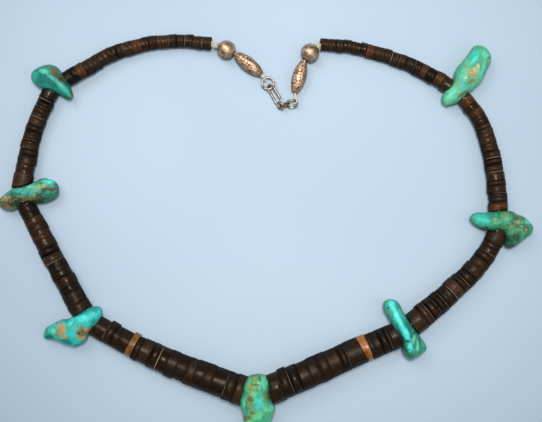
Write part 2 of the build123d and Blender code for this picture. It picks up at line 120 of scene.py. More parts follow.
class Graph:
    """A material's node tree, with short ways to add the usual nodes."""

    def __init__(self, name):
        self.material = bpy.data.materials.new(name)
        self.material.use_nodes = True
        self.tree = self.material.node_tree
        self.tree.nodes.clear()
        output = self.node("ShaderNodeOutputMaterial")
        self.bsdf = self.node("ShaderNodeBsdfPrincipled")
        self.tree.links.new(self.bsdf.outputs[0], output.inputs[0])
        self.position = self.node("ShaderNodeTexCoord").outputs["Object"]

    def node(self, kind, **settings):
        made = self.tree.nodes.new(kind)
        for key, value in settings.items():
            setattr(made, key, value)
        return made

    def put(self, socket, value):
        if isinstance(value, bpy.types.NodeSocket):
            self.tree.links.new(value, socket)
        elif hasattr(socket.default_value, "__len__") and len(socket.default_value) == 4:
            socket.default_value = (*value[:3], 1.0)
        else:
            socket.default_value = value

    def set(self, name, value):
        self.put(self.bsdf.inputs[name], value)

    def millimetres(self):
        """The place of each point in the row frame, in millimetres."""
        return self.vector("MULTIPLY", self.position, (1 / MM, 1 / MM, 1 / MM))

    def local(self, at, centre, angle=0.0, size=(1.0, 1.0, 1.0)):
        """A place as seen from a centre, turned about the upright and measured in sizes."""
        made = self.node("ShaderNodeMapping", vector_type="TEXTURE")
        self.put(made.inputs["Vector"], at)
        made.inputs["Location"].default_value = centre
        made.inputs["Rotation"].default_value = (0.0, 0.0, angle)
        made.inputs["Scale"].default_value = size
        return made.outputs[0]

    def attribute(self, name, kind="Fac"):
        """What point_values stored under a name."""
        return self.node("ShaderNodeAttribute", attribute_name=name).outputs[kind]

    def noise(self, at, scale, detail=2.0, rough=0.5, out="Fac", twist=0.0):
        made = self.node("ShaderNodeTexNoise")
        self.put(made.inputs["Vector"], at)
        made.inputs["Scale"].default_value = scale
        made.inputs["Detail"].default_value = detail
        made.inputs["Roughness"].default_value = rough
        made.inputs["Distortion"].default_value = twist
        return made.outputs[out]

    def cell_edges(self, at, scale):
        """How far each point is from the edge of its cell."""
        made = self.node("ShaderNodeTexVoronoi", feature="DISTANCE_TO_EDGE")
        self.put(made.inputs["Vector"], at)
        made.inputs["Scale"].default_value = scale
        return made.outputs["Distance"]

    def math(self, operation, a, b):
        made = self.node("ShaderNodeMath", operation=operation)
        self.put(made.inputs[0], a)
        self.put(made.inputs[1], b)
        return made.outputs[0]

    def add(self, first, *others):
        for other in others:
            first = self.math("ADD", first, other)
        return first

    def times(self, a, b):
        return self.math("MULTIPLY", a, b)

    def less(self, a, b):
        return self.math("SUBTRACT", a, b)

    def vector(self, operation, a, b):
        made = self.node("ShaderNodeVectorMath", operation=operation)
        self.put(made.inputs[0], a)
        self.put(made.inputs[1], b)
        return made.outputs["Vector"]

    def length(self, at):
        made = self.node("ShaderNodeVectorMath", operation="LENGTH")
        self.put(made.inputs[0], at)
        return made.outputs["Value"]

    def remap(self, value, low, high, to_low=0.0, to_high=1.0):
        """A value eased from one range into another, and held at its ends."""
        made = self.node("ShaderNodeMapRange", interpolation_type="SMOOTHSTEP")
        self.put(made.inputs[0], value)
        for index, number in enumerate((low, high, to_low, to_high)):
            made.inputs[index + 1].default_value = number
        return made.outputs[0]

    def mix(self, share, a, b, how="MIX"):
        made = self.node("ShaderNodeMix", data_type="RGBA", blend_type=how)
        self.put(made.inputs[0], share)
        self.put(made.inputs[6], a)
        self.put(made.inputs[7], b)
        return made.outputs[2]

    def stretch(self, at, x, y, z):
        return self.vector("MULTIPLY", at, (x, y, z))

    def upward(self):
        """How far the surface faces up, from 0 on a side to 1 on top."""
        split = self.node("ShaderNodeSeparateXYZ")
        self.put(split.inputs[0], self.node("ShaderNodeNewGeometry").outputs["Normal"])
        return split.outputs["Z"]

    def over(self, base, colour, value, low, high, most):
        """Lays a colour over a base, up to a share of it where a value comes to its high end."""
        return self.mix(self.remap(value, low, high, 0.0, most), base, colour)

    def bump(self, height, strength, distance):
        """Fine relief in the shader alone, at most a distance in millimetres high."""
        made = self.node("ShaderNodeBump")
        self.put(made.inputs["Height"], height)
        made.inputs["Strength"].default_value = strength
        made.inputs["Distance"].default_value = distance * MM
        self.set("Normal", made.outputs[0])


# Floor and room

FLOOR_SIZE = 16.0
FLOOR_DROP = 0.02 * MM
FLOOR_DEEP = (0.492, 0.628, 0.768)
FLOOR_LIGHT = (0.520, 0.658, 0.796)
FLOOR_SPECK = (0.62, 0.70, 0.80)
ROOM_LOW = (0.30, 0.31, 0.33, 1.0)
ROOM_HIGH = (0.46, 0.48, 0.51, 1.0)
ROOM_HIGH_FROM = 0.9
ROOM_POWER = 0.5


def make_floor():
    graph = Graph("floor_paper")
    wash = graph.noise(graph.position, 9.0, 1.0)
    grain = graph.noise(graph.position, 900.0, 3.0, 0.7)
    base = graph.mix(graph.remap(wash, 0.35, 0.65), FLOOR_DEEP, FLOOR_LIGHT)
    speck = graph.remap(grain, 0.3, 0.7, 0.0, 0.14)
    graph.set("Base Color", graph.mix(speck, base, FLOOR_SPECK))
    graph.set("Roughness", 0.8)
    graph.set("Specular IOR Level", 0.2)
    bpy.ops.mesh.primitive_plane_add(size=FLOOR_SIZE, location=(0.0, 0.0, -FLOOR_DROP))
    floor = bpy.context.active_object
    floor.name = "floor"
    floor.data.materials.append(graph.material)


def make_world():
    """A soft room, a little darker towards the horizon."""
    world = bpy.data.worlds.new("studio")
    world.use_nodes = True
    tree = world.node_tree
    place = tree.nodes.new("ShaderNodeTexCoord")
    split = tree.nodes.new("ShaderNodeSeparateXYZ")
    ramp = tree.nodes.new("ShaderNodeValToRGB")
    tree.links.new(place.outputs["Generated"], split.inputs[0])
    tree.links.new(split.outputs["Z"], ramp.inputs[0])
    low, high = ramp.color_ramp.elements
    low.color = ROOM_LOW
    high.color = ROOM_HIGH
    high.position = ROOM_HIGH_FROM
    back = tree.nodes["Background"]
    tree.links.new(ramp.outputs[0], back.inputs[0])
    back.inputs[1].default_value = ROOM_POWER
    bpy.context.scene.world = world


make_floor()
make_world()


# Reading the frame

# Points closer than this are one point
JOINED = 1e-6

# How alike the normals on a disc's flat faces are, and which share of its radius is its rim
SAME_WAY = 0.9995
RIM_FROM = 0.93
CENTRING_ROUNDS = 3


def node_mesh(name):
    """A node's points, in metres, and its triangles, with doubled points joined."""
    mesh = nodes[name].data
    points = np.empty(len(mesh.vertices) * 3)
    mesh.vertices.foreach_get("co", points)
    points = points.reshape(-1, 3)
    mesh.calc_loop_triangles()
    faces = np.empty(len(mesh.loop_triangles) * 3, int)
    mesh.loop_triangles.foreach_get("vertices", faces)
    _, first, index = np.unique(
        np.round(points / JOINED).astype(int), axis=0, return_index=True, return_inverse=True
    )
    return points[first], index.reshape(-1)[faces].reshape(-1, 3)


def ball(name):
    """A round bead's points and triangles, its centre and its radius."""
    points, faces = node_mesh(name)
    centre = (points.max(axis=0) + points.min(axis=0)) / 2
    return points, faces, centre, (points.max(axis=0) - points.min(axis=0)).max() / 2


def islands(points, faces):
    """The separate solids of a mesh, each as points and triangles."""
    label = np.arange(len(points))
    while True:
        low = label[faces].min(axis=1)
        fresh = label.copy()
        for corner in range(3):
            np.minimum.at(fresh, faces[:, corner], low)
        fresh = fresh[fresh]
        if (fresh == label).all():
            break
        label = fresh
    parts = []
    for mark in np.unique(label):
        mine = label[faces[:, 0]] == mark
        used, index = np.unique(faces[mine], return_inverse=True)
        parts.append((points[used], index.reshape(-1, 3)))
    return parts


class Disc:
    """A drilled disc of the frame: its node, middle, axis, radius and half its thickness."""

    def __init__(self, home, points, faces):
        self.home = home
        a, b, c = (points[faces[:, k]] for k in range(3))
        normal = np.cross(b - a, c - a)
        area = np.linalg.norm(normal, axis=1)
        ways = normal / np.maximum(area, 1e-18)[:, None]
        self.axis = ways[np.argmax((np.abs(ways @ ways.T) > SAME_WAY) @ area)]
        if self.axis[0] < 0:
            self.axis = -self.axis
        along = points @ self.axis
        middle = (along.max() + along.min()) / 2
        self.half = (along.max() - along.min()) / 2
        across = points - np.outer(along, self.axis)
        centre = (across.max(axis=0) + across.min(axis=0)) / 2
        for _ in range(CENTRING_ROUNDS):
            reach = np.linalg.norm(across - centre, axis=1)
            rim = across[reach > RIM_FROM * reach.max()]
            system = np.c_[2 * rim, np.ones(len(rim))]
            centre = np.linalg.lstsq(system, (rim**2).sum(axis=1), rcond=None)[0][:3]
            centre = centre - self.axis * (centre @ self.axis)
        self.radius = np.linalg.norm(across - centre, axis=1).max()
        self.centre = centre + self.axis * middle

    def face(self, side):
        """The middle of one of its two flat faces."""
        return self.centre + self.axis * side * self.half


def new_object(name, points, faces, replaced=()):
    """A smooth piece that rides on the body and stands in for the nodes that it replaces."""
    mesh = bpy.data.meshes.new(name)
    mesh.from_pydata([tuple(p) for p in points], [], [tuple(int(i) for i in f) for f in faces])
    mesh.polygons.foreach_set("use_smooth", [True] * len(mesh.polygons))
    mesh.update()
    made = placed(name, mesh, MIDDLE)
    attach(made, BODY)
    if replaced:
        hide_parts(*replaced)
    return made


def point_values(made, name, values, kind="FLOAT"):
    """Stores one number, vector or colour for each point of a piece."""
    data = made.data.attributes.new(name, kind, "POINT").data
    field = {"FLOAT": "value", "FLOAT_VECTOR": "vector", "FLOAT_COLOR": "color"}[kind]
    data.foreach_set(field, np.asarray(values, float).ravel())


def add_part(points, faces, part_points, part_faces):
    """Adds one part to the points and faces of a whole."""
    faces.extend(tuple(i + len(points) for i in face) for face in part_faces)
    points.extend(part_points)


def grid_faces(rows, columns, close_rows=False):
    """Quads of a grid whose columns run round, and whose rows may too."""
    faces = []
    for row in range(rows if close_rows else rows - 1):
        here, below = row * columns, (row + 1) % rows * columns
        for column in range(columns):
            after = (column + 1) % columns
            faces.append((here + column, here + after, below + after, below + column))
    return faces


def across_axis(axis):
    """Two directions square to an axis: a level one, and the one above it."""
    side = unit(np.cross(UP, axis))
    return side, np.cross(axis, side)


def around(first, second, turns):
    """The directions at some turns in the plane of two square ones."""
    return np.outer(np.cos(turns), first) + np.outer(np.sin(turns), second)


# Turquoise nuggets

# For each stone its four tones, and how rough, how flecked and how veined it is. The first two
# tones cloud into each other, the third is its lightest and the fourth lies in its hollows and
# dark flecks, and is painted as shade down its sides.
SKINS = {
    "nugget_left_top": (
        (42, 156, 136), (16, 132, 112), (66, 178, 162), (28, 78, 58), 0.25, 0.1, 0.1
    ),
    "nugget_left_middle": (
        (58, 168, 148), (42, 118, 94), (56, 198, 188), (20, 32, 14), 1.0, 0.6, 0.6
    ),
    "nugget_left_bottom": (
        (44, 204, 196), (46, 172, 160), (74, 240, 236), (34, 124, 114), 0.3, 0.1, 0.1
    ),
    "nugget_center": (
        (104, 216, 158), (58, 190, 150), (112, 188, 108), (58, 112, 48), 0.45, 0.4, 0.35
    ),
    "nugget_right_bottom": (
        (56, 168, 152), (49, 135, 116), (90, 222, 212), (26, 82, 72), 0.25, 0.1, 0.15
    ),
    "nugget_right_middle": (
        (64, 166, 130), (62, 140, 96), (60, 190, 172), (24, 64, 38), 0.7, 0.6, 0.35
    ),
    "nugget_right_top": (
        (94, 202, 164), (88, 176, 136), (86, 224, 196), (80, 132, 82), 0.35, 0.35, 0.2
    ),
}

# The tones that all the stones' marks are charted in
STONE_TONES = {
    "soot": (28, 34, 16),
    "umber": (62, 46, 20),
    "dark moss": (32, 58, 34),
    "pine": (28, 80, 56),
    "olive": (78, 84, 46),
    "earth": (126, 106, 56),
    "clay": (124, 96, 80),
    "deep teal": (18, 114, 106),
    "fern": (46, 114, 78),
    "sage": (80, 136, 96),
    "moss": (132, 150, 80),
    "teal": (50, 148, 140),
    "jade": (80, 178, 136),
    "pale green": (136, 188, 130),
    "sea": (76, 194, 178),
    "turquoise": (56, 210, 192),
    "mint": (112, 224, 184),
    "aqua": (90, 244, 236),
    "sand": (202, 158, 96),
    "straw": (204, 196, 128),
    "cream": (222, 220, 172),
}

# Each stone's marks, most of them its own colour and a few painted highlights: place on the mat,
# radii along and across it in millimetres, turn in degrees, tone, strength, and how much the
# grain of the stone breaks it up
MARKS = {
    "nugget_left_top": (
        (17.4, 133.0, 2.59, 1.67, 20, "deep teal", 0.7, 0.3),
        (21.6, 131.6, 2.6, 1.3, -45, "deep teal", 0.95, 0.2),
        (22.4, 130.9, 1.7, 0.9, -45, "deep teal", 0.9, 0.2),
        # Painted highlight: these two sea marks run along the stone's lit ridge.
        (22.3, 132.6, 4.4, 0.55, -41, "sea", 0.7, 0.1),
        (25.6, 129.4, 2.6, 0.9, -42, "sea", 0.8, 0.2),
        (27.7, 127.4, 0.93, 0.81, 0, "jade", 0.6, 0.3),
        # Painted highlight: the mint mark at the top of the lit ridge.
        (18.6, 135.6, 1.7, 0.9, -15, "mint", 0.75, 0.1),
        (15.2, 133.4, 1.11, 1.48, 0, "sea", 0.5, 0.3),
        (24.0, 133.7, 4.07, 1.26, -43, "olive", 0.95, 0.15),
        (22.1, 136.0, 1.33, 0.89, -35, "clay", 0.95, 0.1),
        (25.1, 132.6, 0.96, 0.48, -45, "umber", 0.9, 0.1),
        (20.6, 137.4, 2.22, 0.52, -5, "sage", 0.8, 0.2),
        (26.9, 131.1, 1.85, 0.59, -50, "pine", 0.8, 0.1),
        (28.4, 128.2, 0.59, 1.67, 15, "pine", 0.8, 0.1),
        (26.6, 126.3, 1.48, 0.59, -20, "pine", 0.7, 0.1),
        (17.1, 129.9, 2.22, 0.41, -32, "deep teal", 0.8, 0.1),
    ),
    "nugget_left_middle": (
        (10.4, 92.3, 2.96, 1.33, 8, "sea", 0.85, 0.35),
        (14.0, 93.7, 1.67, 1.11, 20, "mint", 0.8, 0.2),
        (20.8, 95.5, 2.04, 1.04, 5, "aqua", 0.95, 0.1),
        (5.3, 89.0, 2.41, 1.41, -10, "sand", 0.95, 0.3),
        (4.6, 86.8, 1.85, 0.96, 0, "earth", 0.9, 0.4),
        (7.1, 87.2, 1.48, 0.81, 0, "earth", 0.8, 0.4),
        (3.1, 89.7, 1.11, 1.48, 0, "olive", 0.8, 0.5),
        (18.0, 93.3, 2.78, 1.33, 25, "pale green", 0.8, 0.55),
        (17.9, 94.8, 1.11, 0.41, 5, "olive", 0.9, 0.4),
        (21.4, 92.3, 2.3, 0.85, 0, "umber", 1.0, 0.2),
        (20.9, 90.4, 2.22, 1.11, 10, "fern", 0.85, 0.3),
        (19.8, 90.0, 0.89, 0.67, 0, "fern", 0.8, 0.2),
        (17.4, 92.6, 3.0, 1.2, 24, "straw", 0.95, 1.0),
        (17.6, 91.2, 3.4, 1.0, 24, "dark moss", 0.95, 0.8),
        (11.0, 88.0, 7.2, 1.5, 6, "soot", 1.0, 0.3),
        (12.0, 88.6, 5.2, 1.2, 6, "sand", 0.95, 1.0),
        (13.1, 89.1, 2.04, 0.59, 0, "earth", 0.95, 0.3),
        (14.4, 88.2, 0.89, 0.41, 0, "umber", 0.9, 0.1),
        (8.6, 87.5, 2.04, 0.89, 5, "dark moss", 0.95, 0.2),
        (11.1, 87.3, 1.48, 0.59, 0, "soot", 0.95, 0.2),
        (15.4, 90.4, 0.96, 0.81, 0, "pale green", 0.9, 0.1),
        (17.3, 89.3, 1.85, 0.67, 5, "olive", 0.85, 0.3),
        (6.7, 92.3, 1.11, 0.81, 0, "sage", 0.7, 0.4),
        (11.5, 90.1, 2.22, 0.44, 5, "moss", 0.7, 0.6),
        (5.6, 86.0, 3.3, 0.9, 0, "earth", 0.9, 0.35),
        (9.6, 86.9, 2.6, 0.8, 4, "dark moss", 0.9, 0.3),
        (13.4, 87.5, 3.2, 0.7, 5, "soot", 0.95, 0.3),
        (18.2, 88.6, 3.4, 0.8, 14, "dark moss", 0.9, 0.25),
    ),
    "nugget_left_bottom": (
        (25.9, 41.8, 1.7, 2.44, 5, "sand", 1.0, 0.3),
        (24.5, 40.4, 0.96, 2.22, 0, "moss", 0.8, 0.3),
        (27.4, 39.0, 0.96, 0.74, 0, "sand", 0.8, 0.2),
        (33.5, 40.7, 2.37, 2.07, 0, "earth", 1.0, 0.2),
        (33.1, 38.7, 1.33, 0.74, 15, "sand", 0.95, 0.1),
        (34.9, 41.4, 0.96, 0.67, 0, "sand", 0.9, 0.1),
        (32.4, 40.2, 0.56, 0.37, 0, "umber", 0.9, 0.1),
        (33.6, 41.3, 0.48, 0.44, 0, "umber", 0.9, 0.1),
        (31.6, 42.9, 1.85, 0.59, 30, "jade", 0.7, 0.2),
        # Painted highlight: the aqua mark where the light catches the stone.
        (33.1, 45.8, 2.96, 1.33, -12, "aqua", 0.85, 0.1),
        (29.5, 44.3, 0.96, 1.48, -20, "aqua", 0.7, 0.1),
        (37.7, 49.0, 1.48, 1.11, 30, "teal", 0.9, 0.2),
        (39.2, 44.6, 1.11, 1.85, -20, "jade", 0.7, 0.2),
        (35.6, 43.9, 1.48, 0.74, -10, "turquoise", 0.6, 0.2),
        (23.0, 41.1, 0.96, 1.26, 0, "mint", 0.9, 0.1),
        (21.3, 39.0, 1.7, 1.04, 0, "deep teal", 0.95, 0.1),
        (23.0, 43.5, 0.59, 0.59, 0, "mint", 0.8, 0.1),
        (20.2, 41.2, 0.74, 1.48, 20, "sage", 0.8, 0.2),
        (27.7, 37.2, 2.22, 0.96, -12, "deep teal", 0.85, 0.1),
        (31.0, 37.1, 1.33, 0.67, 0, "turquoise", 0.8, 0.1),
        (31.3, 35.9, 1.85, 0.44, 0, "deep teal", 0.8, 0.1),
        (31.3, 38.9, 0.67, 0.44, 0, "pale green", 0.8, 0.1),
        (35.6, 39.3, 1.11, 1.48, -30, "pine", 0.85, 0.2),
        (28.8, 41.1, 0.52, 2.22, 5, "jade", 0.6, 0.2),
    ),
    "nugget_center": (
        (95.5, 23.8, 1.63, 1.41, 0, "moss", 0.9, 0.2),
        (97.3, 24.0, 0.52, 0.89, 10, "fern", 0.9, 0.1),
        (95.5, 22.0, 1.85, 0.41, -3, "olive", 0.95, 0.1),
        (94.1, 25.2, 1.11, 0.44, -20, "sage", 0.8, 0.2),
        (95.5, 24.3, 0.37, 0.26, 0, "straw", 0.8, 0.1),
        (94.5, 20.6, 1.63, 1.11, 0, "moss", 0.85, 0.3),
        (93.4, 21.3, 0.59, 1.11, 0, "sand", 0.7, 0.3),
        (96.3, 20.6, 0.59, 0.96, 0, "earth", 0.7, 0.3),
        (93.9, 15.6, 1.1, 6.2, 3, "moss", 0.85, 0.55),
        (93.7, 17.1, 1.19, 1.26, 0, "earth", 1.0, 0.2),
        (93.9, 18.3, 0.59, 0.19, 0, "straw", 0.8, 0.2),
        (91.6, 16.0, 0.63, 2.96, 3, "mint", 0.85, 0.1),
        (90.9, 14.2, 0.37, 1.48, 0, "teal", 0.8, 0.1),
        (92.6, 14.6, 0.33, 2.22, 2, "fern", 0.8, 0.1),
        (93.7, 14.2, 0.59, 1.48, 0, "moss", 0.7, 0.3),
        (94.8, 12.1, 1.26, 0.74, 0, "earth", 0.9, 0.3),
        (93.0, 10.1, 1.33, 0.96, 10, "earth", 0.95, 0.2),
        (91.6, 9.6, 0.74, 0.74, 0, "olive", 0.8, 0.2),
        (97.0, 15.6, 1.9, 1.9, 0, "turquoise", 0.95, 0.1),
        (96.6, 13.7, 1.48, 0.89, 0, "sea", 0.8, 0.1),
        (99.8, 17.8, 1.6, 2.1, 0, "moss", 0.9, 0.5),
        (100.6, 19.5, 1.11, 1.48, 0, "sage", 0.75, 0.3),
        (99.1, 22.7, 0.96, 2.96, 0, "mint", 0.8, 0.15),
        (101.6, 14.5, 0.96, 2.22, 0, "mint", 0.75, 0.2),
        (98.0, 12.6, 0.3, 0.3, 0, "deep teal", 0.9, 0),
        (98.2, 10.5, 0.33, 0.37, 0, "deep teal", 0.9, 0),
        (101.3, 21.3, 0.52, 3.7, 0, "fern", 0.7, 0.2),
        (95.9, 11.7, 1.85, 0.37, 15, "pale green", 0.6, 0.3),
        (100.2, 11.3, 1.85, 1.48, 0, "teal", 0.6, 0.4),
        (92.7, 23.8, 0.74, 1.85, 0, "pale green", 0.6, 0.3),
    ),
    "nugget_right_bottom": (
        # Painted highlight: the long aqua stripe along the stone's ridge.
        (148.0, 43.7, 8.89, 0.93, -66, "aqua", 0.95, 0.05),
        (145.5, 50.6, 1.11, 1.11, 0, "aqua", 0.9, 0.1),
        (150.1, 39.3, 1.11, 1.85, 25, "aqua", 0.9, 0.05),
        (143.7, 50.6, 0.81, 1.11, 0, "jade", 0.85, 0.2),
        (144.2, 48.8, 0.56, 0.44, 0, "fern", 1, 0),
        (144.7, 46.9, 0.96, 1.33, 25, "jade", 0.8, 0.2),
        (145.1, 44.4, 0.74, 1.85, 25, "teal", 0.8, 0.2),
        (149.1, 45.8, 0.67, 2.22, 25, "sea", 0.7, 0.2),
        (150.9, 41.8, 0.56, 3.33, 25, "deep teal", 0.9, 0.1),
        (152.5, 40.0, 0.52, 2.22, 20, "teal", 0.8, 0.1),
        (150.8, 36.8, 1.56, 0.37, -18, "fern", 1, 0.1),
        (153.0, 37.5, 0.56, 1.67, -15, "mint", 0.9, 0.1),
        (153.8, 36.0, 0.3, 2.59, -5, "teal", 0.95, 0),
        (154.5, 35.3, 0.48, 2.0, 0, "mint", 0.9, 0.1),
        (155.5, 36.0, 0.3, 2.59, 12, "fern", 0.85, 0),
        (156.6, 35.3, 0.74, 1.33, 20, "jade", 0.8, 0.2),
        (151.7, 35.0, 0.81, 1.48, 10, "aqua", 0.9, 0.05),
        (150.4, 33.5, 0.48, 2.96, 28, "pine", 0.95, 0),
        (154.4, 32.4, 1.85, 0.74, 20, "sage", 0.9, 0.2),
        (151.5, 31.7, 1.85, 1.11, 0, "fern", 0.9, 0.1),
        (149.0, 33.9, 0.74, 2.22, 25, "pine", 0.85, 0.2),
        (146.1, 40.8, 0.56, 3.33, 25, "teal", 0.7, 0.1),
    ),
    "nugget_right_middle": (
        (178.7, 81.1, 3.33, 2.22, 0, "turquoise", 0.85, 0.15),
        (176.7, 81.4, 0.89, 1.04, 0, "jade", 0.85, 0.3),
        (181.7, 81.4, 0.96, 1.85, 0, "teal", 0.7, 0.2),
        (183.7, 79.9, 1.11, 1.63, 30, "pale green", 0.85, 0.6),
        (184.9, 82.1, 0.48, 1.85, -8, "fern", 0.9, 0.2),
        (186.1, 81.0, 0.81, 1.63, 0, "jade", 0.8, 0.3),
        (187.6, 82.9, 1.41, 0.96, 0, "moss", 0.9, 0.3),
        (187.6, 81.0, 0.96, 0.89, 0, "pale green", 0.8, 0.3),
        (187.2, 79.6, 1.48, 0.67, 0, "jade", 0.8, 0.2),
        (190.2, 82.1, 1.11, 1.48, 30, "fern", 0.7, 0.4),
        (191.9, 81.0, 1.7, 0.96, -25, "olive", 0.95, 0.35),
        (192.0, 79.9, 1.11, 0.41, 10, "straw", 0.95, 0.4),
        (190.2, 79.5, 0.59, 1.11, 0, "olive", 0.8, 0.4),
        (190.8, 79.2, 0.41, 0.37, 0, "pale green", 0.9, 0),
        (193.7, 79.5, 0.37, 0.44, 0, "mint", 0.9, 0),
        (194.6, 77.5, 1.48, 1.26, -20, "pine", 0.9, 0.3),
        (194.7, 77.1, 0.59, 0.67, 0, "cream", 0.9, 0.5),
        (192.6, 78.9, 3.4, 2.0, -25, "dark moss", 0.9, 0.7),
        (192.9, 78.6, 3.3, 1.9, -25, "cream", 1.0, 1.0),
        (195.7, 79.9, 1.11, 0.96, -30, "mint", 0.85, 0.1),
        (196.8, 77.7, 0.74, 1.33, 0, "jade", 0.8, 0.2),
        (188.7, 78.1, 2.22, 0.37, 12, "moss", 0.9, 0.3),
        (191.6, 77.0, 1.85, 0.67, 5, "jade", 0.8, 0.3),
        (191.6, 78.6, 1.11, 0.59, 0, "fern", 0.8, 0.2),
        (193.8, 75.5, 1.48, 0.96, 20, "jade", 0.8, 0.2),
        (190.1, 73.7, 2.96, 1.85, 20, "pine", 0.95, 0.1),
        (189.3, 71.1, 2.22, 0.96, 0, "pine", 0.95, 0.05),
        (180.9, 77.4, 2.96, 0.67, -4, "pine", 0.9, 0.1),
        (186.4, 76.6, 2.22, 0.67, 0, "olive", 0.9, 0.3),
        (185.3, 78.5, 1.85, 0.52, 0, "sage", 0.7, 0.3),
    ),
    "nugget_right_top": (
        (176.9, 142.0, 2.22, 1.7, 35, "turquoise", 0.9, 0.1),
        (177.2, 140.1, 2.37, 0.56, 48, "aqua", 0.9, 0.05),
        (178.4, 144.6, 1.85, 1.11, 0, "jade", 0.7, 0.2),
        (181.2, 141.6, 1.11, 1.85, 10, "mint", 0.85, 0.1),
        (182.6, 140.9, 0.37, 0.59, 0, "olive", 0.9, 0.1),
        (181.7, 139.6, 1.48, 0.59, 15, "pale green", 0.85, 0.3),
        (176.0, 134.5, 1.41, 1.41, 0, "sand", 1, 0.1),
        (177.3, 136.0, 1.33, 1.11, 45, "straw", 1, 0.2),
        (178.1, 137.5, 0.63, 0.56, 0, "cream", 0.95, 0.1),
        (174.0, 136.8, 0.89, 2.22, -5, "pale green", 0.75, 0.2),
        (180.2, 137.1, 0.81, 3.15, -12, "mint", 0.9, 0.1),
        (181.4, 135.3, 0.59, 2.22, -8, "sea", 0.7, 0.1),
        (173.4, 133.0, 0.59, 0.37, 25, "cream", 0.9, 0),
        (175.8, 131.9, 1.85, 0.89, 15, "moss", 0.9, 0.35),
        (178.6, 132.7, 0.89, 1.33, -25, "pale green", 0.7, 0.3),
        (171.2, 136.0, 0.89, 3.33, -22, "jade", 0.75, 0.2),
        (169.5, 133.0, 0.74, 2.59, -15, "teal", 0.8, 0.2),
        (172.2, 130.4, 1.26, 1.85, -35, "sea", 0.8, 0.1),
        (168.5, 128.5, 1.7, 1.7, 0, "mint", 0.85, 0.15),
        (172.5, 127.2, 2.59, 0.74, 38, "earth", 0.95, 0.3),
        (174.4, 128.2, 0.96, 0.59, 30, "olive", 0.85, 0.2),
        (167.7, 125.6, 1.7, 1.48, 20, "mint", 0.8, 0.2),
        (170.4, 130.8, 0.74, 1.85, -30, "pale green", 0.6, 0.3),
        (165.4, 124.8, 0.74, 1.48, 0, "jade", 0.7, 0.2),
    ),
}


# How the CAD's stones are made even and smooth
STONE_VOXEL = 0.34 * MM
SMOOTH_ROUNDS = 3

# A stone's lumps, each with its scale per millimetre and its height in millimetres
LUMPS = ((0.22, 0.34), (0.55, 0.16))
GRAIN_SCALE = 1.9

# Pits lie where their own noise, read away from the rest, is above a level
PIT_SCALE = 1.1
PIT_PLACE = Vector((31.0, 7.0, 3.0))
PIT_FROM = 0.28

# How far the whole skin sinks, in millimetres, and how far all stays above the floor
SKIN_SUNK = 0.10
CLEAR_OF_FLOOR = 0.02 * MM

# Where a mark fades out and is whole, in shares of its radii, from where on a broken one lies
# lower, and the upright radius that takes it through the whole stone
FADED = 1.45
WHOLE = 0.45
SUNKEN_FROM = 0.28
MARK_DEPTH = 100.0

VEIN = tone(74, 58, 34)
PALE_FLECK = tone(172, 186, 140)
SANDY_FLECK = tone(176, 166, 104)


def remeshed(name):
    """A smooth, even copy of a CAD stone."""
    points, faces = node_mesh(name)
    made = new_object(name + "_stone", points, faces, [name])
    remesh = made.modifiers.new("remesh", "REMESH")
    remesh.mode = "VOXEL"
    remesh.voxel_size = STONE_VOXEL
    smooth = made.modifiers.new("smooth", "SMOOTH")
    smooth.factor = 0.5
    smooth.iterations = SMOOTH_ROUNDS
    fine = made.modifiers.new("fine", "SUBSURF")
    fine.levels = 1
    fine.render_levels = 1
    state = bpy.context.evaluated_depsgraph_get()
    shaped = bpy.data.meshes.new_from_object(made.evaluated_get(state))
    made.modifiers.clear()
    made.data = shaped
    shaped.name = name + "_stone"
    shaped.materials.clear()
    shaped.polygons.foreach_set("use_smooth", [True] * len(shaped.polygons))
    return made


def weather(made, rough, seed):
    """Tumbled hollows, low facets and small pits, pushed into the skin."""
    mesh = made.data
    offset = Vector((seed * 7.3, seed * 3.1, seed * 5.7))
    moved = np.empty((len(mesh.vertices), 3))
    for index, vertex in enumerate(mesh.vertices):
        at = vertex.co / MM + offset
        lumps = sum(noise.noise(at * scale) * high for scale, high in LUMPS)
        grain = noise.noise(at * GRAIN_SCALE) * (0.03 + 0.05 * rough)
        pit = max(0.0, noise.noise(at * PIT_SCALE + PIT_PLACE) - PIT_FROM) * 0.9 * rough
        moved[index] = vertex.co + vertex.normal * (lumps + grain - pit - SKIN_SUNK) * MM
    moved[:, 2] = np.maximum(moved[:, 2], CLEAR_OF_FLOOR)
    mesh.vertices.foreach_set("co", moved.ravel())
    mesh.update()


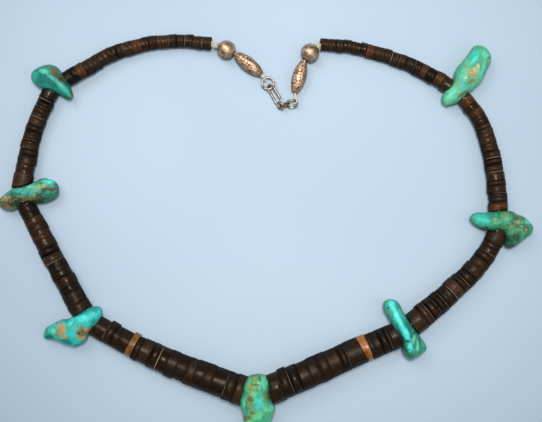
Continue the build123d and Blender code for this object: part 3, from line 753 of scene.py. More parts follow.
def turquoise(name, seed):
    """One stone's clouded blue-green, its own marks with a few painted highlights, its veins and
    flecks, and painted shade down its sides.
    """
    first, second, light, dark = (tone(*colour) for colour in SKINS[name][:4])
    rough, flecked, veined = SKINS[name][4:]
    graph = Graph(name + "_turquoise")
    at = graph.millimetres()
    drift = graph.vector("ADD", at, (seed * 13.0, seed * 7.0, seed * 3.0))
    clouds = graph.noise(drift, 0.24, 3.0, 0.55)
    mottle = graph.noise(drift, 0.75, 4.0, 0.65)
    hollows = graph.noise(drift, 0.5, 4.0, 0.7, twist=0.5)
    fine = graph.noise(drift, 3.2, 4.0, 0.75)
    grit = graph.noise(drift, 1.3, 5.0, 0.75)
    base = graph.mix(graph.remap(clouds, 0.42, 0.58), first, second)
    base = graph.over(base, light, mottle, 0.50, 0.66, 0.65)
    base = graph.over(base, dark, hollows, 0.55, 0.70, 0.4 + 0.3 * rough)
    bend = 0.9 + 2.7 * rough
    warp = graph.noise(drift, 0.6, 3.0, 0.6, out="Color")
    warp = graph.vector("SUBTRACT", warp, (0.5, 0.5, 0.5))
    warp = graph.stretch(warp, bend, bend, 0.0)
    bent = graph.vector("ADD", at, warp)
    sunk = None
    # Most marks are the stone's own colour; a few are painted highlights along its ridges.
    for x, y, long, wide, angle, shade, strength, broken in MARKS[name]:
        radii = (long, wide, MARK_DEPTH)
        spot = graph.local(bent, on_mat(x, y) / MM, math.radians(angle), radii)
        fades = FADED - 0.2 * broken, WHOLE + 0.2 * broken
        mask = graph.remap(graph.length(spot), *fades, 0.0, strength)
        low = 0.43 + 0.10 * broken
        mask = graph.times(mask, graph.remap(grit, low, low + 0.06, 1.0 - broken, 1.0))
        base = graph.mix(mask, base, tone(*STONE_TONES[shade]))
        if broken > SUNKEN_FROM:
            sunk = mask if sunk is None else graph.math("MAXIMUM", sunk, mask)
    veins = graph.cell_edges(graph.vector("ADD", drift, warp), 0.42)
    vein = graph.times(graph.remap(veins, 0.05, 0.0), graph.remap(clouds, 0.40, 0.60))
    base = graph.mix(graph.times(vein, veined), base, VEIN)
    base = graph.over(base, PALE_FLECK, fine, 0.60, 0.72, 0.05 + 0.45 * flecked)
    base = graph.over(base, dark, fine, 0.42, 0.30, 0.20 + 0.5 * flecked)
    base = graph.over(base, SANDY_FLECK, grit, 0.59, 0.66, 0.9 * flecked)
    base = graph.over(base, dark, grit, 0.42, 0.36, 0.9 * flecked)
    # Painted shade: the stone's dark tone laid over its sides, darkest where the surface faces
    # sideways.
    base = graph.over(base, dark, graph.upward(), 0.6, 0.05, 0.7)
    graph.set("Base Color", base)
    graph.set("Roughness", graph.remap(fine, 0.3, 0.7, 0.28, 0.46))
    graph.set("Specular IOR Level", 0.32)
    height = graph.add(graph.times(fine, 0.4 + 0.7 * rough), graph.times(mottle, 0.5))
    height = graph.less(height, graph.times(vein, 0.6))
    if sunk is not None:
        height = graph.less(height, graph.times(sunk, graph.remap(fine, 0.35, 0.65)))
    graph.bump(height, 0.5, 0.2)
    return graph.material


stone_trees = []
for seed, stone_name in enumerate(SKINS, 1):
    stone = remeshed(stone_name)
    weather(stone, SKINS[stone_name][4], seed)
    stone.data.materials.append(turquoise(stone_name, seed))
    corners = [vertex.co for vertex in stone.data.vertices]
    quads = [polygon.vertices for polygon in stone.data.polygons]
    stone_trees.append(BVHTree.FromPolygons(corners, quads))


# Shell and amber discs

SIDES = ("left", "right")
DISC_SEED = 11
COLUMNS = 48
TURNS = np.linspace(0.0, 2 * math.pi, COLUMNS, endpoint=False)

# The hole, its lip, and the ring of points between the lip and the rim
HOLE_RADIUS = 0.75 * MM
INNER = {"hole": HOLE_RADIUS, "lip": HOLE_RADIUS + 0.12 * MM}
HOLE_SUNK = 0.05 * MM
FACE_SHARE = 0.55

# How far off a neighbour's face may lie, and how far off a stone
NEXT_DISC = 1.2 * MM
STONE_AWAY = 5.0 * MM

# The room that an end leaves before a stone, how much it may differ, and where it is measured
STONE_ROOM = 0.04 * MM
STONE_REACH = 3.0 * MM
STONE_SHARES = np.linspace(-1.0, 1.0, 15)

# The layers of a disc: how thick one is, and the disc radius at which it is that thick
LAYER = 1.2 * MM
THIN_DISC = 2.3 * MM
GROOVE_WIDTH = 0.06 * MM
GROOVE_DEPTH = 0.055 * MM
LAYERS_TO = 0.88

# What a disc's wear is drawn from, in millimetres: how round its rims are and how much rounder
# a pale one is, how its side bulges and tapers, how its faces dish, and how its layers step
RIM_ROUND = (0.08, 0.20)
PALE_ROUND = 0.17
BULGE = (0.01, 0.08)
TAPER = (-0.09, 0.09)
DISH = (-0.02, 0.02)
LAYER_STEP = (-0.02, 0.02)

# Chips: how wide in radians, how deep in millimetres, and which count a disc stays below
CHIP_WIDE = (0.08, 0.28)
CHIP_DEEP = (0.08, 0.26)
CHIPS_BELOW = 3

# A disc's size, and how its outline waves, both in shares of its radius, and a whole turn
SIZES = (0.978, 1.012)
OUT_OF_ROUND = {2: 0.010, 3: 0.006, 7: 0.004}
ANY_TURN = (0, 6.28)

# How a rim wavers: noise scales round it and along the axis, and its height
WAVER_ROUND = 2.2
WAVER_ALONG = 1.4
WAVER = 0.04 * MM

# How far a disc sits out of line, in millimetres: usual steps level and upright, and the most
SHIFTS = (0.13, 0.07)
MOST_SHIFT = 0.22

# How wide a seam is in millimetres, and how often
SEAMS = (0.008, 0.015, 0.045)
SEAM_ODDS = (0.4, 0.35, 0.25)

# Where an amber disc's end lies off the frame's: how far along in millimetres, and its tilt
AMBER_ENDS = {
    "amber_disc_left": {-1: (1.45, 0.0), 1: (0.40, 0.0)},
    "amber_disc_right": {-1: (1.75, 0.12), 1: (0.85, 0.0)},
}

# Each amber disc's light and deep tone
AMBER_TONES = {
    "amber_disc_left": (tone(148, 98, 36), tone(100, 64, 20)),
    "amber_disc_right": (tone(188, 122, 56), tone(138, 82, 34)),
}

strand = []
for side_name in SIDES:
    string_name = "heishi_" + side_name
    strand += [Disc(string_name, *part) for part in islands(*node_mesh(string_name))]
for amber_name in AMBER_ENDS:
    strand.append(Disc(amber_name, *node_mesh(amber_name)))


class End:
    """How much further than the frame's face a disc's end goes, at its middle and its rim."""

    def __init__(self, middle, rim, power):
        self.middle = middle
        self.rim = rim
        self.power = power

    def at(self, share, column):
        return self.middle + (self.rim[column] - self.middle) * share**self.power


def facing(disc, side):
    """The disc next to this one on a side, with the side that it turns here, or None."""
    found = None
    nearest = NEXT_DISC
    for other in strand:
        if other is disc or (other.centre - disc.centre) @ disc.axis * side <= 0:
            continue
        for other_side in (-1, 1):
            gap = np.linalg.norm(other.face(other_side) - disc.face(side))
            if gap < nearest:
                nearest = gap
                found = other, other_side
    return found


def end_on_disc(disc, side, other, other_side, seam):
    """An end that meets its neighbour in the plane half way between them."""
    point = (disc.face(side) + other.face(other_side)) / 2
    out = disc.axis * side - other.axis * other_side
    for amber, amber_side in ((disc, side), (other, other_side)):
        shift, tilt = AMBER_ENDS.get(amber.home, {}).get(amber_side, (0.0, 0.0))
        point = point + amber.axis * shift * MM
        out = out + across_axis(amber.axis)[0] * tilt * (out @ amber.axis)
    rim = disc.face(side) + disc.radius * around(*across_axis(disc.axis), TURNS)
    ahead = disc.axis @ out * side
    middle = (point - disc.face(side)) @ out / ahead
    return End(middle - seam, (point - rim) @ out / ahead - seam, 1)


def end_on_stone(disc, side):
    """An end cut to the outline of the stone beside it, or one as the frame has it."""
    first, second = across_axis(disc.axis)
    ways = []
    for share in STONE_SHARES:
        tall = math.sqrt(1 - share**2)
        way = STONE_AWAY
        for height in np.linspace(-tall, tall, 7):
            start = Vector(disc.face(side) + (first * share + second * height) * disc.radius)
            for tree in stone_trees:
                hit = tree.ray_cast(start, Vector(disc.axis * side), STONE_AWAY)
                if hit[0] is not None:
                    way = min(way, hit[3])
        ways.append(way)
    ways = np.array(ways)
    if ways.min() >= STONE_AWAY * 0.99:
        return End(0.0, np.zeros(COLUMNS), 1)
    ways = np.minimum(ways, ways.min() + STONE_REACH) - STONE_ROOM
    edged = np.pad(ways, 1, "edge")
    ways = np.minimum(ways, (edged[:-2] + ways + edged[2:]) / 3)
    rim = np.interp(np.cos(TURNS), STONE_SHARES, ways)
    middle = np.interp(0.0, STONE_SHARES, ways)
    return End(min(middle, rim.mean()), rim, 2)


def disc_rows(rng, disc):
    """The cross section of a worn disc, as rows of reach, side, sink, paleness and band.

    A band is one layer of the shell: fine grooves part the layers, and each has its own tone.
    """
    half, pale = disc.half, disc.pale
    soft = (rng.uniform(*RIM_ROUND) + PALE_ROUND * max(pale.values())) * MM
    bulge = rng.uniform(*BULGE) * MM
    taper = rng.uniform(*TAPER) * MM
    dish = rng.uniform(*DISH) * MM
    layers = round(2 * half / LAYER / (disc.radius / THIN_DISC) ** 1.3)
    layers = 1 if disc.home in AMBER_ENDS else max(1, layers)
    cuts = [1 - 2 * (index + rng.uniform(-0.18, 0.18)) / layers for index in range(1, layers)]
    arc = [share * math.pi / 2 for share in (0.0, 0.33, 0.66, 1.0)]
    arc = [(-soft * (1 - math.sin(a)), -soft * (1 - math.cos(a))) for a in arc]
    rows = [("hole", -1.0, -HOLE_SUNK, 0.0, 0), ("hole", 1.0, -HOLE_SUNK, 0.0, 0)]
    rows += [("lip", 1.0, 0.0, 0.0, 0), ("face", 1.0, dish, pale[1], 0)]
    rows += [(reach, 1.0, sink, pale[1], 0) for reach, sink in arc]
    edges = [LAYERS_TO] + cuts + [-LAYERS_TO]
    groove = GROOVE_WIDTH / half
    for band in range(layers):
        top, low = edges[band], edges[band + 1]
        if band:
            deep = rng.uniform(0.3, 1.0) * GROOVE_DEPTH
            rows.append((taper * top - deep, top, 0.0, 0.0, band))
            top -= groove
        low += groove * (band < layers - 1)
        step = rng.uniform(*LAYER_STEP) * MM
        for share in (top, (top + low) / 2, low):
            rows.append((bulge * (1 - share**2) + taper * share + step, share, 0.0, 0.0, band))
    rows += [(reach, -1.0, sink, pale[-1], layers - 1) for reach, sink in reversed(arc)]
    rows += [("face", -1.0, dish, pale[-1], layers - 1), ("lip", -1.0, 0.0, 0.0, layers - 1)]
    return rows


def disc_mesh(disc, rng, ends, shift, chips):
    """Points, quads and marks of one worn disc with rounded rims, small chips and a hole."""
    first, second = across_axis(disc.axis)
    radius = rng.uniform(*SIZES)
    for waves, high in OUT_OF_ROUND.items():
        radius = radius + high * np.cos(waves * TURNS + rng.uniform(*ANY_TURN))
    radius = disc.radius * radius
    rows = disc_rows(rng, disc)
    bites = []
    for _ in range(chips):
        at, wide, deep = (rng.uniform(*span) for span in (ANY_TURN, CHIP_WIDE, CHIP_DEEP))
        bites.append((at, wide, deep * MM, rng.choice((-1, 1))))
    wander = rng.uniform(0, 100, 3)
    tones = rng.uniform(0.78, 1.22, 12)
    points, local, rims, bands = [], [], [], []
    for out, side, sink, rim, band in rows:
        end = 1 if side > 0 else -1
        for column, turn in enumerate(TURNS):
            reach = INNER.get(out)
            if reach is None:
                reach = radius[column] * FACE_SHARE if out == "face" else radius[column] + out
            high = side * disc.half
            high += end * (sink + ends[end].at(reach / disc.radius, column) * abs(side))
            if out not in INNER:
                for at, wide, deep, bite_end in bites:
                    away = abs((turn - at + math.pi) % (2 * math.pi) - math.pi) / wide
                    if away < 1 and side * bite_end > 0.5:
                        reach -= deep * (1 - away**2)
                round_it = math.cos(turn) * WAVER_ROUND, math.sin(turn) * WAVER_ROUND
                spot = Vector((*round_it, high / MM * WAVER_ALONG))
                reach += noise.noise(spot + Vector(wander)) * WAVER
            place = first * math.cos(turn) * reach + second * math.sin(turn) * reach
            points.append(disc.centre + shift + place + disc.axis * high)
            local.append((math.cos(turn) * reach / MM, math.sin(turn) * reach / MM, high / MM))
            rims.append(rim)
            bands.append(tones[band])
    return points, grid_faces(len(rows), COLUMNS, True), np.array(local) + wander, rims, bands


# The shell's usual range of tones, and the tones of single discs
BROWN = np.array(tone(58, 40, 25))
BLACK = np.array(tone(20, 14, 8))
ORANGE = tone(84, 52, 29)
TAN = tone(76, 48, 26)
REDDISH = tone(58, 38, 25)
DUN = tone(56, 40, 26)
PINK = tone(72, 50, 38)
JET = tone(14, 12, 8)

# Discs of another colour: where each lies on the mat, and how far it juts out in millimetres
TINTED = (
    (53.2, 147.1, ORANGE, 0.0), (60.7, 148.6, REDDISH, 0.0), (38.9, 141.7, REDDISH, 0.0),
    (29.4, 136.4, ORANGE, 0.0), (27.6, 135.0, JET, 0.0), (14.6, 116.6, DUN, 0.0),
    (9.4, 95.6, REDDISH, 0.0), (15.9, 75.2, REDDISH, 0.0), (21.3, 67.8, DUN, 0.0),
    (155.3, 44.5, DUN, 0.0), (157.8, 46.2, REDDISH, 0.0), (167.8, 56.6, PINK, -0.5),
    (185.7, 86.0, TAN, 0.0), (181.6, 110.5, REDDISH, 0.0), (178.1, 120.3, TAN, 0.0),
    (175.8, 124.1, TAN, 0.0), (166.9, 131.6, DUN, 0.0), (164.3, 133.2, TAN, 0.0),
    (162.3, 134.3, JET, 0.0), (159.6, 135.7, ORANGE, 0.0), (139.0, 143.9, ORANGE, 0.0),
)

# Where a disc shows a pale rim, as a thin light line across the strand, and how pale
PALE_RIMS = (
    (75.5, 147.8, 0.5), (70.0, 148.9, 0.5), (64.4, 149.0, 0.4), (46.3, 144.9, 0.5),
    (18.9, 125.6, 0.7), (17.4, 122.7, 0.6), (16.0, 119.8, 1.0), (13.1, 112.2, 0.8),
    (12.2, 108.9, 1.0), (22.2, 66.5, 0.6), (42.2, 41.0, 0.7), (60.3, 30.6, 1.0),
    (85.0, 21.5, 0.6), (109.8, 22.1, 0.8), (128.6, 29.0, 0.6), (143.9, 36.8, 0.8),
    (158.8, 47.0, 0.6), (161.1, 49.0, 0.6), (163.3, 51.4, 0.8), (166.2, 54.8, 1.0),
    (171.3, 60.6, 0.7), (179.1, 68.7, 0.5), (185.9, 90.2, 0.7), (185.1, 98.4, 0.7),
    (183.2, 104.6, 0.8), (180.5, 114.7, 0.6), (158.4, 136.4, 0.7), (155.4, 137.8, 0.5),
    (150.1, 140.2, 0.5), (146.8, 141.5, 0.7),
)


def mat_distance(place, x, y):
    """How far a place in the frame is from a point on the mat, seen from above."""
    spot = on_mat(x, y)
    return math.hypot(place[0] - spot[0], place[1] - spot[1])


def read_marks():
    """Gives each disc its tint, its jut and how pale its two rims are."""
    for disc in strand:
        disc.tint, disc.jut, disc.pale = None, 0.0, {-1: 0.0, 1: 0.0}
    for x, y, colour, jut in TINTED:
        disc = min(strand, key=lambda one: mat_distance(one.centre, x, y))
        disc.tint, disc.jut = colour, jut
    for x, y, strength in PALE_RIMS:
        ends = [(disc, side) for disc in strand for side in (-1, 1)]
        disc, side = min(ends, key=lambda one: mat_distance(one[0].face(one[1]), x, y))
        disc.pale[side] = strength


def shell_colour(disc, rng):
    """Dark shell, browner towards the clasp, with a few tinted discs."""
    up = min(1.0, max(0.0, (disc.centre[1] + 0.045) / 0.10))
    share = np.clip(0.17 + 0.34 * up + 0.8 * disc.centre[0] + rng.normal(0, 0.17), 0.1, 1.0)
    if disc.tint is not None:
        return np.array(disc.tint) * rng.uniform(0.8, 1.0)
    return BLACK + (BROWN - BLACK) * share


def finished_disc(disc, rng):
    """A worn disc whose ends keep to what lies beside it, a little out of line."""
    ends = {}
    for side in (-1, 1):
        beside = facing(disc, side)
        seam = rng.choice(SEAMS, p=SEAM_ODDS) * MM
        if beside:
            ends[side] = end_on_disc(disc, side, *beside, seam)
        else:
            ends[side] = end_on_stone(disc, side)
    first, second = across_axis(disc.axis)
    away = np.array((disc.centre[0], disc.centre[1], 0.0))
    jut = first * np.sign(first @ away) * disc.jut * MM
    level, upright = np.clip(rng.normal(0, SHIFTS), -MOST_SHIFT, MOST_SHIFT)
    shift = jut + first * level * MM + second * upright * MM
    return disc_mesh(disc, rng, ends, shift, rng.integers(0, CHIPS_BELOW))


def build_string(name):
    """All discs of one string as one piece, each point with its place, tone, rim and gloss."""
    rng = np.random.default_rng(DISC_SEED + len(name))
    points, faces, local, rims, colours, gloss = [], [], [], [], [], []
    for disc in (disc for disc in strand if disc.home == name):
        colour = shell_colour(disc, rng)
        disc_points, disc_faces, disc_local, disc_rims, disc_bands = finished_disc(disc, rng)
        add_part(points, faces, disc_points, disc_faces)
        local += list(disc_local)
        rims += disc_rims
        colours += [(*(colour * band), 1.0) for band in disc_bands]
        shine = rng.uniform(0.0, 1.0) ** 1.5 * (0.3 if disc.tint is JET else 1.0)
        gloss += [shine] * len(disc_points)
    made = new_object(name + "_shell", points, faces, [name])
    point_values(made, "local", local, "FLOAT_VECTOR")
    point_values(made, "shade", colours, "FLOAT_COLOR")
    point_values(made, "rim", rims)
    point_values(made, "gloss", gloss)
    return made


def shell_material():
    """Shell in fine layers, paler at worn rims and dark down its sides."""
    graph = Graph("heishi_shell")
    at = graph.attribute("local", "Vector")
    shade = graph.attribute("shade", "Color")
    layers = graph.noise(graph.stretch(at, 0.25, 0.25, 3.2), 1.0, 3.0, 0.6)
    mottle = graph.noise(at, 1.1, 4.0, 0.65)
    specks = graph.noise(at, 4.2, 3.0, 0.7)
    scratch = graph.noise(graph.stretch(at, 1.0, 1.0, 0.2), 6.0, 2.0, 0.6)
    lighter = graph.mix(1.0, shade, (1.9, 1.65, 1.5), "MULTIPLY")
    darker = graph.mix(1.0, shade, (0.45, 0.42, 0.40), "MULTIPLY")
    base = graph.mix(graph.remap(layers, 0.38, 0.66), darker, lighter)
    base = graph.over(base, shade, mottle, 0.42, 0.72, 0.8)
    base = graph.over(base, tone(134, 104, 78), specks, 0.60, 0.74, 0.35)
    worn = graph.times(graph.attribute("rim"), graph.remap(mottle, 0.35, 0.60, 0.45, 1.0))
    base = graph.mix(worn, base, tone(186, 162, 136))
    shadow = graph.mix(1.0, shade, (0.12, 0.11, 0.10), "MULTIPLY")
    base = graph.over(base, shadow, graph.upward(), 0.85, 0.1, 0.95)
    graph.set("Base Color", base)
    rough = graph.remap(graph.attribute("gloss"), 0.0, 1.0, 0.12, -0.12)
    rough = graph.add(rough, graph.remap(scratch, 0.3, 0.7, 0.24, 0.38))
    rough = graph.add(rough, graph.remap(graph.upward(), 0.9, 0.3, 0.0, 0.25))
    graph.set("Roughness", rough)
    graph.set("Specular IOR Level", 0.2)
    graph.set("Specular Tint", (1.0, 0.86, 0.72))
    ridges = graph.add(graph.times(layers, 0.6), graph.times(scratch, 0.3))
    graph.bump(graph.add(ridges, graph.times(mottle, 0.6)), 0.4, 0.14)
    return graph.material


def amber_material(name, light, deep):
    """Cloudy amber that lets a little light in."""
    graph = Graph(name)
    at = graph.attribute("local", "Vector")
    cloud = graph.noise(graph.stretch(at, 0.5, 0.5, 1.4), 0.9, 4.0, 0.6)
    fleck = graph.noise(at, 4.0, 3.0, 0.7)
    base = graph.mix(graph.remap(cloud, 0.35, 0.68), deep, light)
    base = graph.over(base, tone(92, 48, 20), fleck, 0.60, 0.75, 0.5)
    graph.set("Base Color", base)
    graph.set("Roughness", graph.remap(fleck, 0.3, 0.7, 0.24, 0.36))
    graph.set("Specular IOR Level", 0.35)
    graph.set("Subsurface Weight", 0.3)
    graph.set("Subsurface Radius", (1.0, 0.45, 0.12))
    graph.set("Subsurface Scale", 1.2 * MM)
    graph.bump(fleck, 0.15, 0.1)
    return graph.material


def build_amber(name, light, deep):
    """One amber disc, worn as the shell discs are."""
    rng = np.random.default_rng(DISC_SEED)
    disc = next(disc for disc in strand if disc.home == name)
    points, faces, local, _, _ = finished_disc(disc, rng)
    made = new_object(name + "_polished", points, faces, [name])
    point_values(made, "local", local, "FLOAT_VECTOR")
    made.data.materials.append(amber_material(name + "_resin", light, deep))


read_marks()
shell = shell_material()
for side_name in SIDES:
    build_string("heishi_" + side_name).data.materials.append(shell)
for amber_name, amber_tones in AMBER_TONES.items():
    build_amber(amber_name, *amber_tones)


# Silver beads

# How finely each kind of bead is made, along it and round it
BALL_ROWS, BALL_COLUMNS = 60, 96
BARREL_ROWS, BARREL_COLUMNS = 110, 168

# The mouth of each kind of bead, from inside its hole outwards: how much wider than the hole
# it is and how far past the bead's end it lies, in millimetres. A ball's skin starts at its lip.
BALL_MOUTH = ((0.0, -0.5), (0.0, 0.05), (0.08, 0.10))
BARREL_MOUTH = ((0.0, -0.9), (0.0, 0.0), (0.12, 0.02))
BALL_LIP = HOLE_RADIUS + 0.16 * MM
MOUTH_TO = HOLE_RADIUS + 0.14 * MM
MOUTH_DARK = 0.9

# The walls of a round bead's hole lie within this share of its radius
WALL_SHARE = 0.9

# A barrel bead's radius at its ends, its leaves round it, and its bands: where they lie and
# how wide they are, in shares of half its length
BARREL_TIP = 1.15 * MM
LEAVES = 7
BANDS = ((0.90, 0.022), (0.80, 0.015))

# How deep, in millimetres, and how dark are the grooves between the leaves, the hatching of
# their sides and the bands, and how high are the leaves' ribs
GROOVE_DEEP, HATCH_DEEP, BAND_DEEP = 0.24, 0.13, 0.08
GROOVE_DARK, HATCH_DARK, BAND_DARK = 0.75, 0.6, 0.5
RIB_HIGH = 0.035

# How far a bead's skin lies inside the frame's, in millimetres
BEAD_SUNK = 0.02


def silver_material(name, light, dark, streak, relief=True):
    """Tarnished silver: bright where it is rubbed, brown in the hollows, with fine scratches,
    and painted shade darkening its sides.
    """
    graph = Graph(name)
    at = graph.millimetres()
    cloud = graph.noise(at, 0.6, 4.0, 0.7)
    fine = graph.noise(at, 2.6, 4.0, 0.75)
    tilted = graph.node("ShaderNodeMapping", vector_type="POINT")
    graph.put(tilted.inputs["Vector"], at)
    tilted.inputs["Rotation"].default_value = (0.5, 0.3, streak)
    tilted.inputs["Scale"].default_value = (0.35, 1.7, 1.7)
    lines = graph.noise(tilted.outputs[0], 1.0, 3.0, 0.6, twist=1.2)
    base = graph.mix(graph.remap(cloud, 0.38, 0.62), dark, light)
    base = graph.over(base, light, lines, 0.44, 0.62, 0.65)
    base = graph.over(base, dark, fine, 0.55, 0.35, 0.5)
    # Painted shade: a dark brown laid over the sides, where the surface turns away from the top.
    base = graph.over(base, tone(62, 42, 32), graph.upward(), 0.7, 0.1, 0.8)
    rough = graph.remap(cloud, 0.3, 0.7, 0.34, 0.50)
    if relief:
        recess = graph.attribute("recess")
        grime = graph.times(recess, graph.remap(fine, 0.3, 0.7, 0.7, 1.0))
        base = graph.mix(grime, base, tone(58, 38, 26))
        rough = graph.add(rough, graph.times(recess, 0.25))
    graph.set("Roughness", rough)
    graph.set("Base Color", base)
    graph.set("Metallic", 1.0)
    graph.bump(graph.add(graph.times(lines, 0.8), graph.times(fine, 0.5)), 0.5, 0.18)
    return graph.material


def turned(name, axis, centre, end, mouth, skin, columns, relief):
    """A bead turned about an axis: from one mouth of its hole over the skin to the other mouth.

    The skin's points are moved out, and made dark, by what relief returns.
    """
    rim = [(HOLE_RADIUS + wide * MM, end + past * MM) for wide, past in mouth]
    profile = [(reach, -along) for reach, along in rim] + skin + rim[::-1]
    first, second = across_axis(axis)
    points, recess = [], []
    for reach, along in profile:
        for column in range(columns):
            turn = 2 * math.pi * column / columns
            push, dark = 0.0, MOUTH_DARK
            if reach > MOUTH_TO:
                push, dark = relief(turn, reach, along)
            out = first * math.cos(turn) + second * math.sin(turn)
            points.append(centre + out * (reach + push) + axis * along)
            recess.append(dark)
    faces = grid_faces(len(profile), columns, True)
    made = new_object(name + "_bead", points, faces, [name])
    point_values(made, "recess", recess)
    return made


def bead_axis(points, faces, centre, radius):
    """The direction of the hole through a round bead, square to its hole's walls."""
    corners = points[faces]
    wall = np.linalg.norm(corners.mean(axis=1) - centre, axis=1) < radius * WALL_SHARE
    a, b, c = corners[wall].transpose(1, 0, 2)
    return np.linalg.svd(np.cross(b - a, c - a) / MM**2, full_matrices=False)[2][-1]


def round_bead(name, seed):
    """A bead with soft dents, a seam round its middle and a small lip at each mouth."""
    points, faces, centre, radius = ball(name)
    axis = bead_axis(points, faces, centre, radius)
    lip = math.asin(BALL_LIP / radius)
    skin = []
    for step in range(BALL_ROWS + 1):
        angle = lip + (math.pi - 2 * lip) * step / BALL_ROWS
        skin.append((radius * math.sin(angle), -radius * math.cos(angle)))
    offset = Vector((seed * 5.0, 2.0, 9.0))

    def relief(turn, reach, along):
        spot = Vector((reach * math.cos(turn), reach * math.sin(turn), along)) / MM
        dents = noise.noise(spot * 0.35 + offset) * 0.07
        dents += noise.noise(spot * 1.1 + offset) * 0.03
        seam = math.exp(-((along / (0.14 * MM)) ** 2))
        near_lip = max(0.0, 1 - (reach - HOLE_RADIUS) / (0.7 * MM))
        dark = min(1.0, 0.25 * seam + 0.8 * near_lip)
        return (dents - 0.03 * seam - BEAD_SUNK) * MM, dark

    end = radius * math.cos(lip)
    return turned(name, axis, centre, end, BALL_MOUTH, skin, BALL_COLUMNS, relief)


def barrel_bead(name, seed):
    """A long bead with leaves in relief between two bands near each end."""
    points, _ = node_mesh(name)
    middle = points.mean(axis=0)
    axis = np.linalg.svd(points - middle, full_matrices=False)[2][0]
    along = (points - middle) @ axis
    centre = middle + axis * (along.max() + along.min()) / 2
    half = (along.max() - along.min()) / 2
    reach = np.linalg.norm(np.cross(points - centre, axis), axis=1).max()
    skin = []
    for step in range(BARREL_ROWS + 1):
        share = 2 * step / BARREL_ROWS - 1
        out = BARREL_TIP + (reach - BARREL_TIP) * (1 - abs(share) ** 2.05)
        skin.append((out, share * half * 0.995))

    def relief(turn, out, place):
        """Long leaves with ribs and hatched sides, and the bands, all worn unevenly."""
        share = place / half
        size = out / reach
        spot = Vector((turn * 1.5 + seed, share * 3.0, 2.0))
        phase = ((turn + 0.30 * share) * LEAVES / (2 * math.pi)) % 1.0
        side = abs(phase - 0.5) * 2 + noise.noise(spot * 1.7) * 0.10
        groove = max(0.0, min(1.0, (side - 0.78) / 0.20)) ** 0.8
        rib = math.exp(-((side / 0.12) ** 2))
        hatch = math.sin(share * 30 - side * 2.6)
        cut = max(0.0, hatch) ** 2 * (1 - groove) * (1 - rib) * max(0.0, 1 - abs(share) ** 6)
        bands = sum(math.exp(-(((abs(share) - at) / wide) ** 2)) for at, wide in BANDS)
        wear = 0.75 + 0.7 * noise.noise(spot)
        dents = noise.noise(spot * 2.6) * 0.07
        depth = GROOVE_DEEP * groove * size * wear + HATCH_DEEP * cut * wear + BAND_DEEP * bands
        dark = GROOVE_DARK * groove * wear + HATCH_DARK * cut * wear + BAND_DARK * bands
        push = dents - depth - BEAD_SUNK + RIB_HIGH * rib * size
        return push * MM, max(0.0, min(1.0, dark))

    return turned(name, axis, centre, half, BARREL_MOUTH, skin, BARREL_COLUMNS, relief)


silver = silver_material("silver_tarnished", tone(248, 214, 180), tone(150, 110, 82), 0.7)
for make, kind in ((round_bead, "round_bead_"), (barrel_bead, "barrel_bead_")):
    for seed, side_name in enumerate(SIDES, 1):
        make(kind + side_name, seed).data.materials.append(silver)


# Clasp


def dress(name, material, thicker=0.0):
    """Gives a CAD node that stays its own material, and lets its wire swell a little."""
    piece = nodes[name]
    piece.data.materials.clear()
    piece.data.materials.append(material)
    if thicker:
        swell = piece.modifiers.new("swell", "DISPLACE")
        swell.strength = thicker
        swell.mid_level = 0.0


wire = silver_material("wire_tarnished", tone(232, 218, 202), tone(98, 76, 58), 1.9, False)
dark_wire = silver_material("wire_dark", tone(158, 122, 96), tone(74, 54, 42), 0.4, False)
for wire_name, thicker in (("hook", 0.12), ("jump_ring", 0.07), ("end_ring", 0.06)):
    dress(wire_name, wire, thicker * MM)
dress("chain_link", dark_wire, 0.04 * MM)


# Thread: the plain cord of the frame, with spun yarn round it wherever it shows

YARN_SEED = 3

# A direction that no thread runs along
ASKEW = (0.31, 0.27, 0.91)

# Plies: their count, radius, distance from the middle and length of one whole turn
CORD_PLIES = (6, 0.17 * MM, 0.70 * MM, 3.4 * MM)
LOOP_PLIES = (2, 0.15 * MM, 0.16 * MM, 1.2 * MM)

# Loose fibres: their radius, and at each place their count and length
FIBRE_RADIUS = 0.05 * MM
CORD_FIBRES = (90, 1.6 * MM)
KNOT_FIBRES = (12, 1.3 * MM)

# Where each loop of thread and its knot lie, in millimetres
LOOPS = (
    ((-1.03, 57.33, 1.29), (-1.38, 58.23, 2.06)),
    ((10.66, 48.65, 3.29), (10.72, 49.78, 2.86)),
)
LOOP_RADIUS = 0.97 * MM

# A knot's radius, its yarn's radius and turns, and the room round a loop and its knot in which
# the frame's own cord is read or left out
KNOT_RADIUS = 0.65 * MM
KNOT_YARN = 0.20 * MM
KNOT_TURNS = 6
ROUND_LOOP = 1.4 * MM
ROUND_KNOT = 0.75 * MM


def yarn_material():
    """Pale spun yarn, yellowed in places."""
    graph = Graph("thread_yarn")
    at = graph.millimetres()
    fibre = graph.noise(at, 9.0, 3.0, 0.7)
    soil = graph.noise(at, 0.9, 2.0, 0.5)
    base = graph.mix(graph.remap(fibre, 0.35, 0.65), tone(196, 190, 168), tone(240, 238, 224))
    base = graph.over(base, tone(168, 166, 112), soil, 0.52, 0.74, 0.5)
    graph.set("Base Color", base)
    graph.set("Roughness", 0.85)
    graph.set("Sheen Weight", 0.3)
    graph.bump(fibre, 0.6, 0.08)
    return graph.material


yarn = yarn_material()
dress("thread", yarn)
thread_points, _ = node_mesh("thread")


def tube(path, radius, sides=7):
    """A closed thin tube along a path of points."""
    path = np.asarray(path)
    ahead = np.gradient(path, axis=0)
    points = []
    for spot, way in zip(path, ahead):
        way = unit(way)
        side = unit(np.cross(way, ASKEW))
        over = np.cross(way, side)
        for step in range(sides):
            turn = 2 * math.pi * step / sides
            points.append(spot + radius * (side * math.cos(turn) + over * math.sin(turn)))
    faces = grid_faces(len(path), sides)
    faces.append(tuple(reversed(range(sides))))
    faces.append(tuple(range(len(points) - sides, len(points))))
    return points, faces


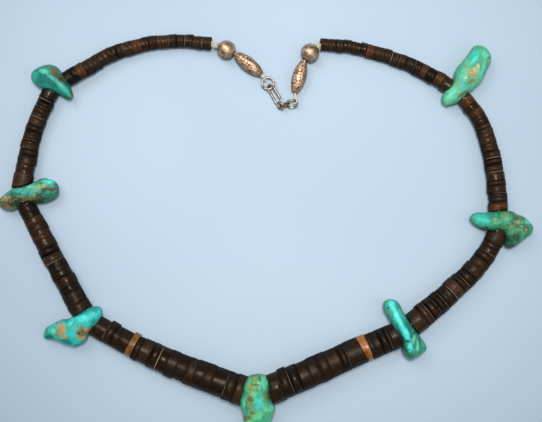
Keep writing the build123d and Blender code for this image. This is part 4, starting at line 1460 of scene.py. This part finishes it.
def plies(route, rng, count, ply, spread, pitch):
    """Twisted plies round a route, their distance from it a little uneven."""
    route = np.asarray(route)
    step = np.linalg.norm(np.diff(route, axis=0), axis=1)
    along = np.concatenate([[0.0], np.cumsum(step)])
    parts = []
    for number in range(count):
        start = 2 * math.pi * number / count + rng.uniform(-0.3, 0.3)
        path = []
        for index, spot in enumerate(route):
            way = route[min(index + 1, len(route) - 1)] - route[max(index - 1, 0)]
            first = unit(np.cross(way, ASKEW))
            second = unit(np.cross(way, first))
            turn = start + 2 * math.pi * along[index] / pitch
            far = spread * (1 + 0.22 * math.sin(along[index] / MM * 3.1 + number * 2.0))
            path.append(spot + far * (first * math.cos(turn) + second * math.sin(turn)))
        parts.append(tube(path, ply))
    return parts


def loose_fibres(route, rng, count, reach):
    """Short stray fibres that curl out of a route."""
    parts = []
    route = np.asarray(route)
    for _ in range(count):
        spot = route[rng.integers(0, len(route))]
        out = rng.normal(0, 1, 3)
        out[2] = abs(out[2])
        out = unit(out)
        bend = rng.normal(0, 0.5, 3)
        length = rng.uniform(0.5, 1.0) * reach
        shares = np.linspace(0.25, 1, 6)
        path = [spot + out * length * share + bend * length * share**2 for share in shares]
        parts.append(tube(path, FIBRE_RADIUS, 5))
    return parts


def yarn_piece(name, parts):
    """All strands of yarn as one piece that stays above the floor."""
    points, faces = [], []
    for part in parts:
        add_part(points, faces, *part)
    points = np.maximum(points, (-1.0, -1.0, CLEAR_OF_FLOOR))
    made = new_object(name, points, faces)
    made.data.materials.append(yarn)


def shown_cord(bead, string_name, rng):
    """The thread between the end of a string of discs and its round bead."""
    _, _, centre, radius = ball(bead)
    ends = [disc.face(side) for disc in strand if disc.home == string_name for side in (-1, 1)]
    start = min(ends, key=lambda place: np.linalg.norm(place - centre))
    stop = centre - unit(centre - start) * radius
    route = [start + (stop - start) * share for share in np.linspace(-0.12, 1.10, 22)]
    return plies(route, rng, *CORD_PLIES) + loose_fibres(route, rng, *CORD_FIBRES)


def thread_loop(loop, knot, rng):
    """Twisted yarn round one loop, and a lumpy knot where it leaves the cord."""
    loop, knot = np.array(loop) * MM, np.array(knot) * MM
    near = thread_points[np.linalg.norm(thread_points - loop, axis=1) < ROUND_LOOP]
    near = near[np.linalg.norm(near - knot, axis=1) > ROUND_KNOT]
    first, second = np.linalg.svd(near - near.mean(axis=0), full_matrices=False)[2][:2]
    turns = np.linspace(0.0, 2 * math.pi, 49)
    parts = plies(loop + LOOP_RADIUS * around(first, second, turns), rng, *LOOP_PLIES)
    for _ in range(KNOT_TURNS):
        one, two = np.linalg.qr(rng.normal(0, 1, (3, 2)))[0].T
        middle = knot + rng.normal(0, 0.12, 3) * MM
        far = KNOT_RADIUS * rng.uniform(0.72, 0.95)
        parts.append(tube(middle + far * around(one, two, turns), KNOT_YARN))
    return parts + loose_fibres(np.array([knot]), rng, *KNOT_FIBRES)


yarn_rng = np.random.default_rng(YARN_SEED)
yarn_parts = []
for side_name in SIDES:
    yarn_parts += shown_cord("round_bead_" + side_name, "heishi_" + side_name, yarn_rng)
for loop_place, knot_place in LOOPS:
    yarn_parts += thread_loop(loop_place, knot_place, yarn_rng)
yarn_piece("thread_yarn", yarn_parts)
